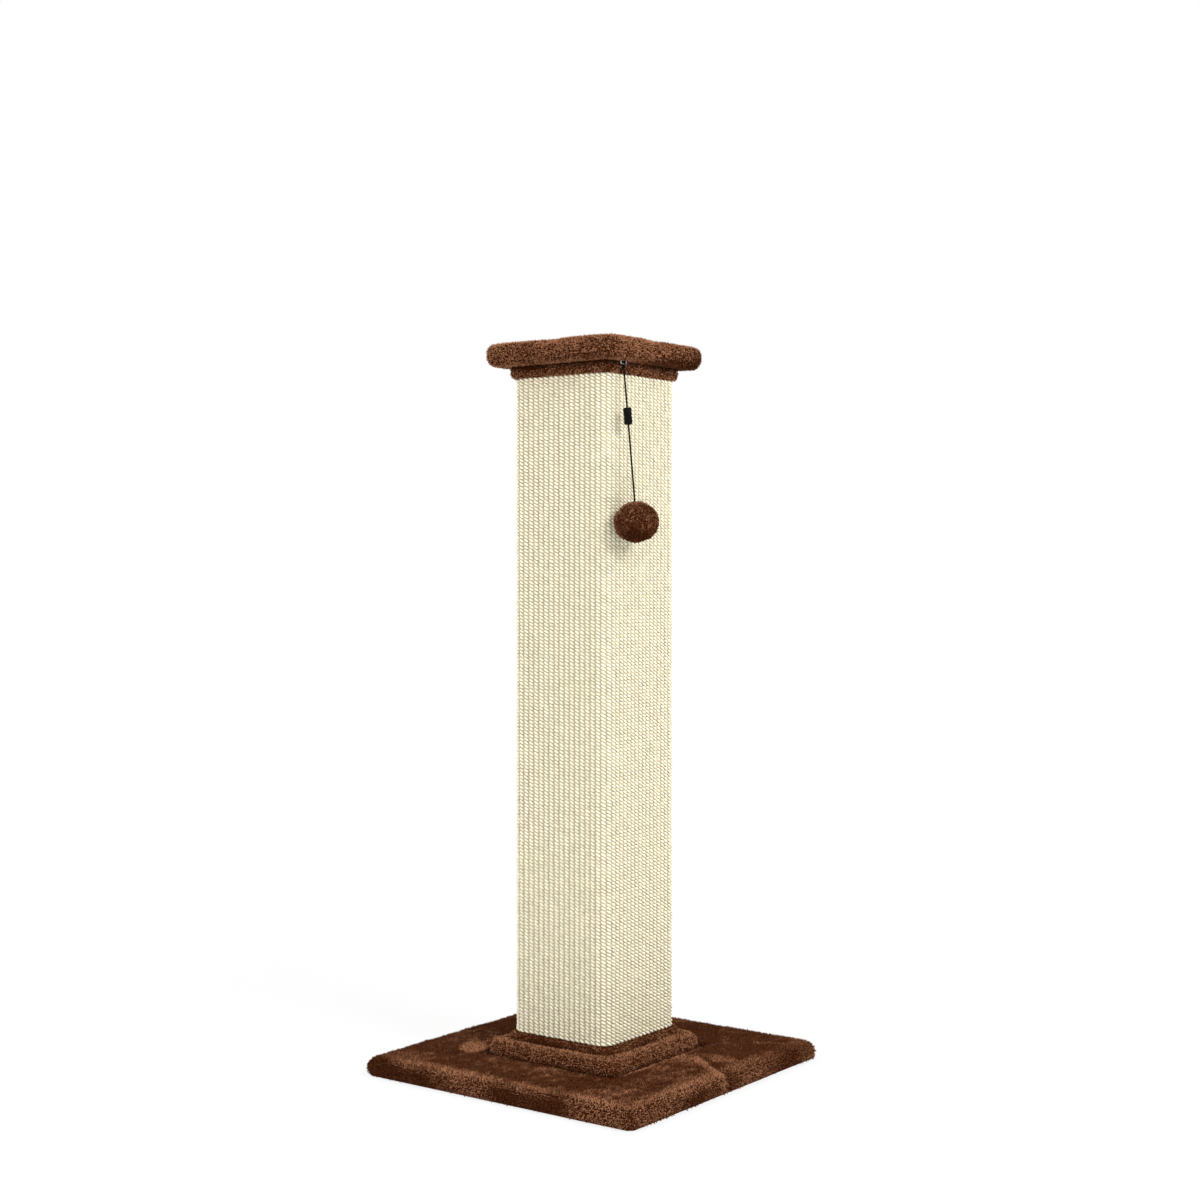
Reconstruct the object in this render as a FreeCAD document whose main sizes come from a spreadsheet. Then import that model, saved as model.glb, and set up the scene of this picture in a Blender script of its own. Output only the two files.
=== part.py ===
"""Square cat scratching post: plush base, sisal-covered post, plush perch and a ball toy on a cord.

Millimetres, +Z up. The origin is on the floor under the middle of the base, and the toy hangs in front
of the -Y face. Each piece is built round its own origin and its Placement lifts it to its level.
"""
import FreeCAD
import Part
import Sketcher
import math
import os
import re

from FreeCAD import Vector

# Driving sizes: name, value and meaning
SIZES = (
    ("base_width", 366.0, "base board, side to side"),
    ("base_thick", 12.0, "base board, thickness"),
    ("base_corner", 4.0, "base board, corner radius seen from above"),
    ("base_fold", 30.0, "plush turned under the base board, width"),
    ("base_top_round", 9.0, "plush over the top edge of the base, radius"),
    ("base_floor_round", 5.0, "plush under the bottom edge of the base, radius"),
    ("foot_width", 172.0, "foot pad board, side to side"),
    ("foot_thick", 12.0, "foot pad board, thickness"),
    ("foot_corner", 13.0, "foot pad board, corner radius seen from above"),
    ("foot_top_round", 10.5, "plush over the top edge of the foot pad, radius"),
    ("foot_floor_round", 6.0, "plush under the bottom edge of the foot pad, radius"),
    ("perch_width", 174.0, "perch board, side to side"),
    ("perch_thick", 12.0, "perch board, thickness"),
    ("perch_corner", 13.0, "perch board, corner radius seen from above"),
    ("perch_top_round", 12.0, "plush over the top edge of the perch, radius"),
    ("perch_floor_round", 10.0, "plush under the bottom edge of the perch, radius"),
    ("perch_under", 4.5, "plush under the perch board, thickness"),
    ("pad_fold", 34.0, "plush turned under the foot pad and perch boards, width"),
    ("cap_width", 134.0, "post cap plate, side to side"),
    ("cap_thick", 12.0, "post cap plate, thickness"),
    ("cap_corner", 7.0, "post cap plate, corner radius seen from above"),
    ("cap_fold", 15.0, "plush turned over the faces of a cap plate, width"),
    ("cap_fold_thick", 2.0, "plush turned over the faces of a cap plate, thickness"),
    ("cap_round", 5.0, "plush round the edges of a cap, radius"),
    ("plush_loft", 9.0, "free plush on top of a board, thickness"),
    ("plush_edge", 7.0, "plush round the edge of a board, thickness"),
    ("plush_pressed", 1.5, "plush squeezed between boards or turned under, thickness"),
    ("plush_clear", 0.3, "clearance of a piece pressed into plush"),
    ("post_width", 138.0, "post over the sisal, side to side"),
    ("post_length", 752.5, "sisal-covered length of the post"),
    ("sisal_thick", 5.0, "sisal matting, thickness"),
    ("sisal_corner", 14.5, "sisal matting, outer corner radius"),
    ("seam_gap", 0.8, "gap where the two ends of the matting meet"),
    ("seam_side", 45.0, "matting seam on the back face, distance from the middle"),
    ("panel_thick", 12.0, "post panel, thickness"),
    ("block_thick", 18.0, "end block inside the post, thickness"),
    ("bolt_width", 8.0, "base bolt shank, diameter"),
    ("bolt_length", 60.0, "base bolt, length under the head"),
    ("bolt_head_width", 16.0, "base bolt head, diameter"),
    ("bolt_head_thick", 2.5, "base bolt head, thickness"),
    ("bolt_head_edge", 0.8, "base bolt head, bevel of its rim"),
    ("bolt_socket", 5.0, "hexagon socket of the base bolt, across flats"),
    ("bolt_socket_depth", 1.8, "hexagon socket of the base bolt, depth"),
    ("bolt_tip", 1.0, "base bolt, bevel of its tip"),
    ("bolt_spacing", 70.0, "base bolts, distance between neighbours"),
    ("bolt_clear", 0.4, "base bolt in its holes, clearance all round"),
    ("head_sink", 1.0, "bolt head below the underside of the base board"),
    ("washer_width", 20.0, "washer, outer diameter"),
    ("washer_thick", 1.5, "washer, thickness"),
    ("washer_clear", 1.0, "washer in its recess, clearance all round"),
    ("nut_width", 10.0, "tee nut barrel, diameter"),
    ("nut_length", 12.0, "tee nut barrel, length"),
    ("nut_flange_width", 20.0, "tee nut flange, diameter"),
    ("nut_flange_thick", 1.5, "tee nut flange, thickness"),
    ("thread_clear", 0.05, "fastener in its thread or driven hole, clearance all round"),
    ("screw_width", 5.0, "perch screw shank, diameter"),
    ("screw_length", 45.0, "perch screw, overall length"),
    ("screw_head_width", 10.0, "perch screw head, diameter"),
    ("screw_tip", 5.0, "perch screw, length of its point"),
    ("screw_slot", 1.2, "cross slot of the perch screw, width"),
    ("screw_slot_length", 5.0, "cross slot of the perch screw, length"),
    ("screw_slot_depth", 1.6, "cross slot of the perch screw, depth"),
    ("screw_spacing", 60.0, "perch screws, distance between neighbours"),
    ("brad_width", 1.6, "brad, diameter"),
    ("brad_length", 24.0, "brad, length"),
    ("brad_spacing", 40.0, "brads in one end of a panel, distance apart"),
    ("toy_side", -50.0, "toy, place along the front face from its middle"),
    ("toy_out", 3.5, "toy staple, distance in front of the upper cap"),
    ("toy_length", 177.5, "toy, from the staple to the middle of the ball"),
    ("staple_wire", 1.2, "staple wire, diameter"),
    ("staple_width", 10.0, "staple, width over its legs' middles"),
    ("staple_bend", 1.5, "staple, radius of its bends"),
    ("staple_depth", 10.0, "staple legs, depth in the perch board"),
    ("loop_clear", 0.3, "cord loop round the staple wire and under the perch, clearance"),
    ("cord_width", 2.0, "toy cord, diameter"),
    ("knot_width", 4.0, "knot under the cord loop, diameter"),
    ("knot_bite", 1.0, "knot drawn into the cord loop, depth"),
    ("cord_clear", 0.3, "cord at its knot and in the ball, clearance"),
    ("sleeve_width", 9.2, "cord sleeve, diameter"),
    ("sleeve_length", 19.0, "cord sleeve, length"),
    ("sleeve_edge", 1.2, "cord sleeve, radius of its rims"),
    ("sleeve_drop", 59.0, "cord sleeve, from the staple to its middle"),
    ("ball_width", 51.6, "ball over its plush, across"),
    ("ball_height", 46.0, "ball over its plush, along the cord"),
    ("ball_plush", 4.0, "ball plush, thickness"),
    ("ball_clear", 0.4, "ball in front of the sisal at rest, clearance"),
    ("stop_width", 5.0, "stop knot inside the ball, diameter"),
    ("through", 1.0, "overrun of a through cut"),
)

# Sizes worked out from the driving ones
FORMULAS = {
    "base_board_level": "plush_pressed",
    "base_board_top": "base_board_level + base_thick",
    "base_height": "base_board_top + plush_loft",
    "base_over": "base_width + 2 * plush_edge",
    "base_window": "base_width - 2 * base_fold",
    "foot_level": "base_board_top + plush_pressed",
    "foot_height": "plush_pressed + foot_thick + plush_loft",
    "foot_over": "foot_width + 2 * plush_edge",
    "cap_height": "cap_thick + 2 * cap_fold_thick",
    "cap_over": "cap_width + 2 * plush_edge",
    "cap_window": "cap_width - 2 * cap_fold",
    "lower_cap_level": "foot_level + plush_pressed + foot_thick + plush_pressed",
    "post_level": "lower_cap_level + cap_height",
    "upper_cap_level": "post_level + post_length",
    "perch_board_level": "upper_cap_level + cap_height + plush_pressed",
    "perch_level": "perch_board_level - perch_under",
    "perch_height": "perch_under + perch_thick + plush_loft",
    "perch_over": "perch_width + 2 * plush_edge",
    "core_width": "post_width - 2 * sisal_thick",
    "core_corner": "sisal_corner - sisal_thick",
    "hollow_width": "core_width - 2 * panel_thick",
    "bolt_hole": "bolt_width + 2 * bolt_clear",
    "bolt_place": "bolt_spacing / 2",
    "recess_width": "washer_width + 2 * washer_clear",
    "recess_depth": "head_sink + bolt_head_thick + washer_thick",
    "bolt_seat": "base_board_level + head_sink + bolt_head_thick",
    "nut_hole": "nut_width + 2 * thread_clear",
    "screw_hole": "screw_width + 2 * thread_clear",
    "screw_place": "screw_spacing / 2",
    "screw_cone": "(screw_head_width - screw_width) / 2",
    "brad_hole": "brad_width + 2 * thread_clear",
    "brad_place": "brad_spacing / 2",
    "leg_hole": "staple_wire + 2 * thread_clear",
    "leg_length": "staple_rise + perch_under + staple_depth",
    "loop_inside": "staple_wire / 2 + loop_clear",
    "loop_radius": "loop_inside + cord_width / 2",
    "staple_rise": "loop_inside + cord_width + loop_clear",
    "toy_level": "perch_level - staple_rise",
    "toy_place": "cap_over / 2 + toy_out",
    "toy_front": "-toy_place",
    "toy_reach": "post_width / 2 + ball_clear + ball_width / 2 - toy_place",
    "toy_lean": "asin(toy_reach / toy_length)",
    "knot_drop": "loop_inside + cord_width + knot_width / 2 - knot_bite",
    "cord_start": "knot_drop + knot_width / 2 + cord_clear",
    "cord_bore": "cord_width + 2 * cord_clear",
    "core_across": "ball_width - 2 * ball_plush",
    "core_along": "ball_height - 2 * ball_plush",
}

ALIASES = {name for name, _, _ in SIZES}

doc = FreeCAD.newDocument("scratching_post")
sheet = doc.addObject("Spreadsheet::Sheet", "Sizes")
for row, (name, size, meaning) in enumerate(SIZES, start=1):
    sheet.set(f"A{row}", meaning)
    sheet.set(f"B{row}", str(size))
    sheet.setAlias(f"B{row}", name)
doc.recompute()

pieces = []


def formula(text):
    """Spells out a formula of named sizes in cells of the sheet."""
    def spell(match):
        word = match.group(0)
        if word in ALIASES:
            return "Sizes." + word
        if word in FORMULAS:
            return "(" + formula(FORMULAS[word]) + ")"
        return word
    return re.sub(r"[a-z_]\w*", spell, text)


def size_of(text):
    """The present value of a formula, as a start for the sketch solver."""
    return float(sheet.evalExpression(formula(text)))


def origin_part(body, role):
    """The body's own origin plane or axis with this role."""
    return next(part for part in body.Origin.OriginFeatures if part.Role == role)


def new_piece(name, level="0"):
    """An empty body, lifted to its level in the stack."""
    body = doc.addObject("PartDesign::Body", name)
    body.Label = name
    body.setExpression("Placement.Base.z", formula(level))
    pieces.append(body)
    return body


def new_toy_piece(name):
    """An empty body whose origin is the middle of the staple, with -Z along the leaning cord."""
    body = new_piece(name, "toy_level")
    body.Placement = FreeCAD.Placement(Vector(), FreeCAD.Rotation(Vector(1, 0, 0), -1))
    body.setExpression("Placement.Base.x", formula("toy_side"))
    body.setExpression("Placement.Base.y", formula("toy_front"))
    body.setExpression("Placement.Rotation.Angle", formula("-toy_lean"))
    return body


def new_sketch(body, level="0", plane="XY_Plane"):
    """A sketch on one of the body's origin planes, moved along the plane's normal."""
    sketch = body.newObject("Sketcher::SketchObject", "Sketch")
    sketch.AttachmentSupport = [(origin_part(body, plane), "")]
    sketch.MapMode = "FlatFace"
    sketch.setExpression("AttachmentOffset.Base.z", formula(level))
    return sketch


def bind(sketch, constraint, text):
    """Adds a constraint whose value follows a formula."""
    index = sketch.addConstraint(constraint)
    sketch.setExpression(f"Constraints[{index}]", formula(text))


def draw_circle(sketch, width, x="0", y="0"):
    """A circle by its diameter and the place of its middle."""
    middle = Vector(size_of(x), size_of(y), 0)
    circle = sketch.addGeometry(Part.Circle(middle, Vector(0, 0, 1), size_of(width) / 2))
    bind(sketch, Sketcher.Constraint("Diameter", circle, size_of(width)), width)
    bind(sketch, Sketcher.Constraint("DistanceX", -1, 1, circle, 3, middle.x), x)
    bind(sketch, Sketcher.Constraint("DistanceY", -1, 1, circle, 3, middle.y), y)


def draw_polygon(sketch, points):
    """A closed outline through points that are pairs of formulas."""
    places = [Vector(size_of(x), size_of(y), 0) for x, y in points]
    first = sketch.GeometryCount
    for start, end in zip(places, places[1:] + places[:1]):
        sketch.addGeometry(Part.LineSegment(start, end))
    for index, ((x, y), place) in enumerate(zip(points, places)):
        line = first + index
        after = first + (index + 1) % len(points)
        sketch.addConstraint(Sketcher.Constraint("Coincident", line, 2, after, 1))
        bind(sketch, Sketcher.Constraint("DistanceX", -1, 1, line, 1, place.x), x)
        bind(sketch, Sketcher.Constraint("DistanceY", -1, 1, line, 1, place.y), y)


def draw_block(sketch, width, depth, x="0", y="0"):
    """A rectangle by its sides and the place of its middle."""
    left = f"({x}) - ({width}) / 2"
    right = f"({x}) + ({width}) / 2"
    near = f"({y}) - ({depth}) / 2"
    far = f"({y}) + ({depth}) / 2"
    draw_polygon(sketch, [(left, near), (right, near), (right, far), (left, far)])


def draw_rounded_square(sketch, width, corner):
    """A square about the origin with rounded corners."""
    half = size_of(width) / 2
    radius = size_of(corner)
    inner = half - radius
    first = sketch.GeometryCount
    upright = Vector(0, 0, 1)
    quarter = math.pi / 2
    quarters = [FreeCAD.Rotation(upright, Radian=side * quarter) for side in range(4)]
    for turn in quarters:
        start = turn.multVec(Vector(-inner, -half, 0))
        end = turn.multVec(Vector(inner, -half, 0))
        sketch.addGeometry(Part.LineSegment(start, end))
    for side, turn in enumerate(quarters):
        round_edge = Part.Circle(turn.multVec(Vector(inner, -inner, 0)), upright, radius)
        sketch.addGeometry(Part.ArcOfCircle(round_edge, (side - 1) * quarter, side * quarter))
    for side in range(4):
        arc = first + 4 + side
        sketch.addConstraint(Sketcher.Constraint("Tangent", first + side, 2, arc, 1))
        sketch.addConstraint(Sketcher.Constraint("Tangent", arc, 2, first + (side + 1) % 4, 1))
    sketch.addConstraint(Sketcher.Constraint("Horizontal", first))
    sketch.addConstraint(Sketcher.Constraint("Vertical", first + 1))
    for arc in range(first + 5, first + 8):
        sketch.addConstraint(Sketcher.Constraint("Equal", first + 4, arc))
    sketch.addConstraint(Sketcher.Constraint("Symmetric", first + 4, 3, first + 6, 3, -1, 1))
    bind(sketch, Sketcher.Constraint("Radius", first + 4, radius), corner)
    bind(sketch, Sketcher.Constraint("DistanceX", first + 3, 1, first + 1, 1, 2 * half), width)
    bind(sketch, Sketcher.Constraint("DistanceY", first, 1, first + 2, 1, 2 * half), width)


def pad(body, sketch, length):
    """Extrudes a sketch along its normal."""
    feature = body.newObject("PartDesign::Pad", "Pad")
    feature.Profile = sketch
    feature.setExpression("Length", formula(length))
    doc.recompute()
    return feature


def pocket(body, sketch, depth, along=True):
    """Cuts a sketch out along its normal, or against it, and makes sure that it took something away."""
    before = body.Shape.Volume
    feature = body.newObject("PartDesign::Pocket", "Pocket")
    feature.Profile = sketch
    feature.Reversed = along
    feature.setExpression("Length", formula(depth))
    doc.recompute()
    if not body.Shape.Volume < before:
        raise RuntimeError(f"{body.Label}: a pocket cut nothing")
    return feature


def revolve(body, sketch, axis):
    """Turns a sketch once round an axis."""
    feature = body.newObject("PartDesign::Revolution", "Revolution")
    feature.Profile = sketch
    feature.ReferenceAxis = axis
    feature.Angle = 360
    doc.recompute()


def four_round(body, feature=None):
    """Repeats a feature, or else the whole piece, at the four quarters round the Z axis."""
    pattern = body.newObject("PartDesign::PolarPattern", "PolarPattern")
    if feature:
        pattern.Originals = [feature]
    else:
        pattern.TransformMode = "Whole shape"
    pattern.Axis = (origin_part(body, "Z_Axis"), [""])
    pattern.Angle = 360
    pattern.Occurrences = 4
    body.Tip = pattern
    doc.recompute()


def dress_edges(body, kind, size, chosen):
    """Rounds or bevels the edges of the present shape that a test picks."""
    base = body.Tip
    names = [f"Edge{index}" for index, edge in enumerate(base.Shape.Edges, start=1) if chosen(edge)]
    if not names:
        raise RuntimeError(f"{body.Label}: no edge to dress")
    feature = body.newObject(f"PartDesign::{kind}", kind)
    feature.Base = (base, names)
    feature.setExpression("Radius" if kind == "Fillet" else "Size", formula(size))
    doc.recompute()


def lies_at(level):
    """A test for edges that lie flat at a height in the body."""
    height = size_of(level)
    near = size_of("plush_clear") / 2

    def test(edge):
        return abs(edge.BoundBox.ZMin - height) < near and abs(edge.BoundBox.ZMax - height) < near
    return test


def punch(body, width, place, level, depth):
    """Four round holes at the corners of a square, cut upwards from a level."""
    sketch = new_sketch(body, level)
    draw_circle(sketch, width, place, place)
    four_round(body, pocket(body, sketch, depth))


def wrapped_pad(name, level, over, corner, height, top_round, bottom_round):
    """The outside of a plush-wrapped board: a square block with rounded corners and soft edges."""
    body = new_piece(name, level)
    sketch = new_sketch(body)
    draw_rounded_square(sketch, over, corner)
    pad(body, sketch, height)
    dress_edges(body, "Fillet", top_round, lies_at(height))
    dress_edges(body, "Fillet", bottom_round, lies_at("0"))
    return body


def cut_square(body, width, corner, level, depth):
    """A rounded square hollow, cut upwards from a level."""
    sketch = new_sketch(body, level)
    draw_rounded_square(sketch, width, corner)
    pocket(body, sketch, depth)


def square_board(name, level, width, corner, thick):
    """A flat board with rounded corners."""
    body = new_piece(name, level)
    sketch = new_sketch(body)
    draw_rounded_square(sketch, width, corner)
    pad(body, sketch, thick)
    return body


def make_base():
    """Base board, its plush and the felt that closes the underside."""
    board = square_board("base_board", "base_board_level", "base_width", "base_corner", "base_thick")
    punch(board, "bolt_hole", "bolt_place", "0", "base_thick")
    punch(board, "recess_width", "bolt_place", "0", "recess_depth")

    plush = wrapped_pad("base_plush", "0", "base_over", "base_corner + plush_edge", "base_height",
                        "base_top_round", "base_floor_round")
    cut_square(plush, "base_width", "base_corner", "base_board_level", "base_thick")
    cut_square(plush, "base_window", "base_corner", "0", "base_board_level")
    seat_width = "foot_over + 2 * plush_clear"
    cut_square(plush, seat_width, "foot_corner + plush_edge + plush_clear", "foot_level", "plush_loft")
    punch(plush, "bolt_hole", "bolt_place", "base_board_top", "plush_pressed")

    felt = square_board("base_felt", "0", "base_window - 2 * plush_clear", "base_corner", "plush_pressed")
    punch(felt, "recess_width", "bolt_place", "0", "plush_pressed")


def make_foot_pad():
    """Foot pad board and its plush, pressed into the plush of the base."""
    board_level = "foot_level + plush_pressed"
    board = square_board("foot_pad_board", board_level, "foot_width", "foot_corner", "foot_thick")
    punch(board, "bolt_hole", "bolt_place", "0", "foot_thick")

    plush = wrapped_pad("foot_pad_plush", "foot_level", "foot_over", "foot_corner + plush_edge",
                        "foot_height", "foot_top_round", "foot_floor_round")
    cut_square(plush, "foot_width", "foot_corner", "plush_pressed", "foot_thick")
    cut_square(plush, "foot_width - 2 * pad_fold", "foot_corner", "0", "plush_pressed")
    seat_level = "2 * plush_pressed + foot_thick"
    seat_width = "cap_over + 2 * plush_clear"
    cut_square(plush, seat_width, "cap_corner + plush_edge + plush_clear", seat_level, "plush_loft")
    punch(plush, "bolt_hole", "bolt_place", "plush_pressed + foot_thick", "plush_pressed")


def make_cap(place, level, hole, hole_place):
    """The plate at one end of the post and the plush band round it."""
    board_level = f"{level} + cap_fold_thick"
    board = square_board(f"{place}_cap_board", board_level, "cap_width", "cap_corner", "cap_thick")
    punch(board, hole, hole_place, "0", "cap_thick")

    plush = wrapped_pad(f"{place}_cap_plush", level, "cap_over", "cap_corner + plush_edge", "cap_height",
                        "cap_round", "cap_round")
    cut_square(plush, "cap_width", "cap_corner", "cap_fold_thick", "cap_thick")
    cut_square(plush, "cap_window", "cap_corner", "0", "cap_height")


def draw_brads(sketch, width):
    """The four brads of one panel, two at each end."""
    for level in ("block_thick / 2", "post_length - block_thick / 2"):
        for side in ("-brad_place", "brad_place"):
            draw_circle(sketch, width, side, level)


def make_wide_panel(name, side):
    """The front or back wall of the post, whose outer corners are rounded for the matting."""
    body = new_piece(name, "post_level")
    sketch = new_sketch(body)
    draw_block(sketch, "core_width", "panel_thick", "0", f"{-side} * (core_width - panel_thick) / 2")
    pad(body, sketch, "post_length")
    inner_face = size_of("core_width / 2 - panel_thick / 2")

    def outer_corner(edge):
        return edge.BoundBox.ZLength > inner_face and abs(edge.BoundBox.Center.y) > inner_face
    dress_edges(body, "Fillet", "core_corner", outer_corner)
    sketch = new_sketch(body, f"{side} * core_width / 2", "XZ_Plane")
    draw_brads(sketch, "brad_hole")
    pocket(body, sketch, "panel_thick", along=side < 0)


def make_narrow_panel(name, side):
    """The left or right wall of the post, between the wide ones."""
    body = new_piece(name, "post_level")
    sketch = new_sketch(body)
    draw_block(sketch, "panel_thick", "hollow_width", f"{side} * (core_width - panel_thick) / 2", "0")
    pad(body, sketch, "post_length")
    sketch = new_sketch(body, f"{side} * core_width / 2", "YZ_Plane")
    draw_brads(sketch, "brad_hole")
    pocket(body, sketch, "panel_thick", along=side < 0)


def make_block(name, level):
    """A block inside one end of the post, with the holes of the brads."""
    body = new_piece(name, level)
    sketch = new_sketch(body)
    draw_block(sketch, "hollow_width", "hollow_width")
    pad(body, sketch, "block_thick")
    sketch = new_sketch(body, "hollow_width / 2", "XZ_Plane")
    for side in ("-brad_place", "brad_place"):
        draw_circle(sketch, "brad_hole", side, "block_thick / 2")
    four_round(body, pocket(body, sketch, "brad_length - panel_thick + thread_clear", along=False))
    return body


def make_post():
    """Panels, end blocks, brads and the sisal matting."""
    make_wide_panel("front_panel", 1)
    make_wide_panel("back_panel", -1)
    make_narrow_panel("left_panel", -1)
    make_narrow_panel("right_panel", 1)

    lower = make_block("lower_block", "post_level")
    punch(lower, "bolt_hole", "bolt_place", "0", "block_thick")
    punch(lower, "nut_hole", "bolt_place", "block_thick - nut_length", "nut_length")
    upper = make_block("upper_block", "upper_cap_level - block_thick")
    punch(upper, "screw_hole", "screw_place", "0", "block_thick")

    brads = new_piece("panel_brads", "post_level")
    sketch = new_sketch(brads, "core_width / 2 - brad_length", "XZ_Plane")
    draw_brads(sketch, "brad_width")
    four_round(brads, pad(brads, sketch, "brad_length"))

    sisal = new_piece("sisal_cover", "post_level")
    sketch = new_sketch(sisal)
    draw_rounded_square(sketch, "post_width", "sisal_corner")
    draw_rounded_square(sketch, "core_width", "core_corner")
    pad(sisal, sketch, "post_length")
    sketch = new_sketch(sisal)
    seam_depth = "sisal_thick + 2 * through"
    draw_block(sketch, "seam_gap", seam_depth, "seam_side", "(post_width - sisal_thick) / 2")
    pocket(sisal, sketch, "post_length")


def cut_staple_legs(body, level, depth):
    """The two holes of the staple's legs."""
    sketch = new_sketch(body, level)
    for side in ("toy_side - staple_width / 2", "toy_side + staple_width / 2"):
        draw_circle(sketch, "leg_hole", side, "toy_front")
    pocket(body, sketch, depth)


def make_perch():
    """Perch board and its plush, with the holes for the screws and the toy's staple."""
    board = square_board("perch_board", "perch_board_level", "perch_width", "perch_corner", "perch_thick")
    punch(board, "screw_hole", "screw_place", "0", "perch_thick")
    on_top = lies_at("perch_thick")
    dress_edges(board, "Chamfer", "screw_cone", lambda edge: on_top(edge) and edge.isClosed())
    cut_staple_legs(board, "0", "staple_depth")

    plush = wrapped_pad("perch_plush", "perch_level", "perch_over", "perch_corner + plush_edge",
                        "perch_height", "perch_top_round", "perch_floor_round")
    cut_square(plush, "perch_width", "perch_corner", "perch_under", "perch_thick")
    cut_square(plush, "perch_width - 2 * pad_fold", "perch_corner", "0", "perch_under")
    seat_width = "cap_over + 2 * plush_clear"
    seat_corner = "cap_corner + plush_edge + plush_clear"
    cut_square(plush, seat_width, seat_corner, "0", "perch_under - plush_pressed")
    cut_staple_legs(plush, "0", "perch_under")


def new_fastener(name, level, place, profile):
    """One turned fastener at a corner of its square, from a profile of radii and heights."""
    body = new_piece(name, level)
    sketch = new_sketch(body, f"-{place}", "XZ_Plane")
    sketch.setExpression("AttachmentOffset.Base.x", formula(place))
    draw_polygon(sketch, profile)
    revolve(body, sketch, (sketch, ["V_Axis"]))
    return body


def make_fasteners():
    """Base bolts with their washers and tee nuts, and the perch screws: four of each."""
    head = "bolt_head_width / 2"
    shank = "bolt_width / 2"
    bolts = new_fastener("base_bolts", "bolt_seat", "bolt_place", [
        ("0", "-bolt_head_thick"), (f"{head} - bolt_head_edge", "-bolt_head_thick"),
        (head, "bolt_head_edge - bolt_head_thick"), (head, "0"), (shank, "0"),
        (shank, "bolt_length - bolt_tip"), (f"{shank} - bolt_tip", "bolt_length"), ("0", "bolt_length")])
    sketch = new_sketch(bolts, "-bolt_head_thick")
    corner = "bolt_socket / 2 / cos(30 deg)"
    draw_polygon(sketch, [(f"bolt_place + {corner} * cos({turn} deg)",
                           f"bolt_place + {corner} * sin({turn} deg)") for turn in range(0, 360, 60)])
    pocket(bolts, sketch, "bolt_socket_depth")
    four_round(bolts)

    hole = "bolt_hole / 2"
    rim = "washer_width / 2"
    four_round(new_fastener("base_washers", "bolt_seat", "bolt_place", [
        (hole, "0"), (rim, "0"), (rim, "washer_thick"), (hole, "washer_thick")]))

    bore = "bolt_width / 2 + thread_clear"
    barrel = "nut_width / 2"
    flange = "nut_flange_width / 2"
    four_round(new_fastener("tee_nuts", "post_level + block_thick", "bolt_place", [
        (bore, "-nut_length"), (barrel, "-nut_length"), (barrel, "0"), (flange, "0"),
        (flange, "nut_flange_thick"), (bore, "nut_flange_thick")]))

    head = "screw_head_width / 2"
    shank = "screw_width / 2"
    screws = new_fastener("perch_screws", "perch_board_level + perch_thick", "screw_place", [
        ("0", "0"), (head, "0"), (shank, "-screw_cone"), (shank, "screw_tip - screw_length"),
        ("0", "-screw_length")])
    sketch = new_sketch(screws)
    arm = "screw_slot_length / 2"
    half = "screw_slot / 2"
    cross = [(arm, half), (half, half), (half, arm)]
    outline = cross + [(f"-{x}", y) for x, y in reversed(cross)]
    outline += [(f"-{x}", f"-{y}") for x, y in cross]
    outline += [(x, f"-{y}") for x, y in reversed(cross)]
    draw_polygon(sketch, [(f"screw_place + {x}", f"screw_place + {y}") for x, y in outline])
    pocket(screws, sketch, "screw_slot_depth", along=False)
    four_round(screws)


def make_staple():
    """The staple under the perch that holds the toy: a wire bent to two legs."""
    body = new_piece("toy_staple", "toy_level")
    body.setExpression("Placement.Base.x", formula("toy_side"))
    body.setExpression("Placement.Base.y", formula("toy_front"))
    half = size_of("staple_width") / 2
    top = size_of("leg_length")
    bend = size_of("staple_bend")
    path = new_sketch(body, "0", "XZ_Plane")
    left_bend = Part.Circle(Vector(bend - half, bend, 0), Vector(0, 0, 1), bend)
    right_bend = Part.Circle(Vector(half - bend, bend, 0), Vector(0, 0, 1), bend)
    path.addGeometry(Part.LineSegment(Vector(-half, top, 0), Vector(-half, bend, 0)))
    path.addGeometry(Part.ArcOfCircle(left_bend, math.pi, math.pi * 3 / 2))
    path.addGeometry(Part.LineSegment(Vector(bend - half, 0, 0), Vector(half - bend, 0, 0)))
    path.addGeometry(Part.ArcOfCircle(right_bend, math.pi * 3 / 2, math.tau))
    path.addGeometry(Part.LineSegment(Vector(half, bend, 0), Vector(half, top, 0)))
    for edge in range(4):
        path.addConstraint(Sketcher.Constraint("Tangent", edge, 2, edge + 1, 1))
    path.addConstraint(Sketcher.Constraint("Equal", 1, 3))
    path.addConstraint(Sketcher.Constraint("PointOnObject", 2, 1, -1))
    path.addConstraint(Sketcher.Constraint("PointOnObject", 2, 2, -1))
    bind(path, Sketcher.Constraint("Radius", 1, bend), "staple_bend")
    bind(path, Sketcher.Constraint("DistanceX", -1, 1, 0, 1, -half), "-staple_width / 2")
    bind(path, Sketcher.Constraint("DistanceY", -1, 1, 0, 1, top), "leg_length")
    bind(path, Sketcher.Constraint("DistanceX", -1, 1, 4, 2, half), "staple_width / 2")
    bind(path, Sketcher.Constraint("DistanceY", -1, 1, 4, 2, top), "leg_length")
    section = new_sketch(body, "leg_length")
    draw_circle(section, "staple_wire", "-staple_width / 2")
    doc.recompute()
    wire = body.newObject("PartDesign::AdditivePipe", "Pipe")
    wire.Profile = section
    wire.Spine = (path, [f"Edge{index}" for index in range(1, 6)])
    doc.recompute()


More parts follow.
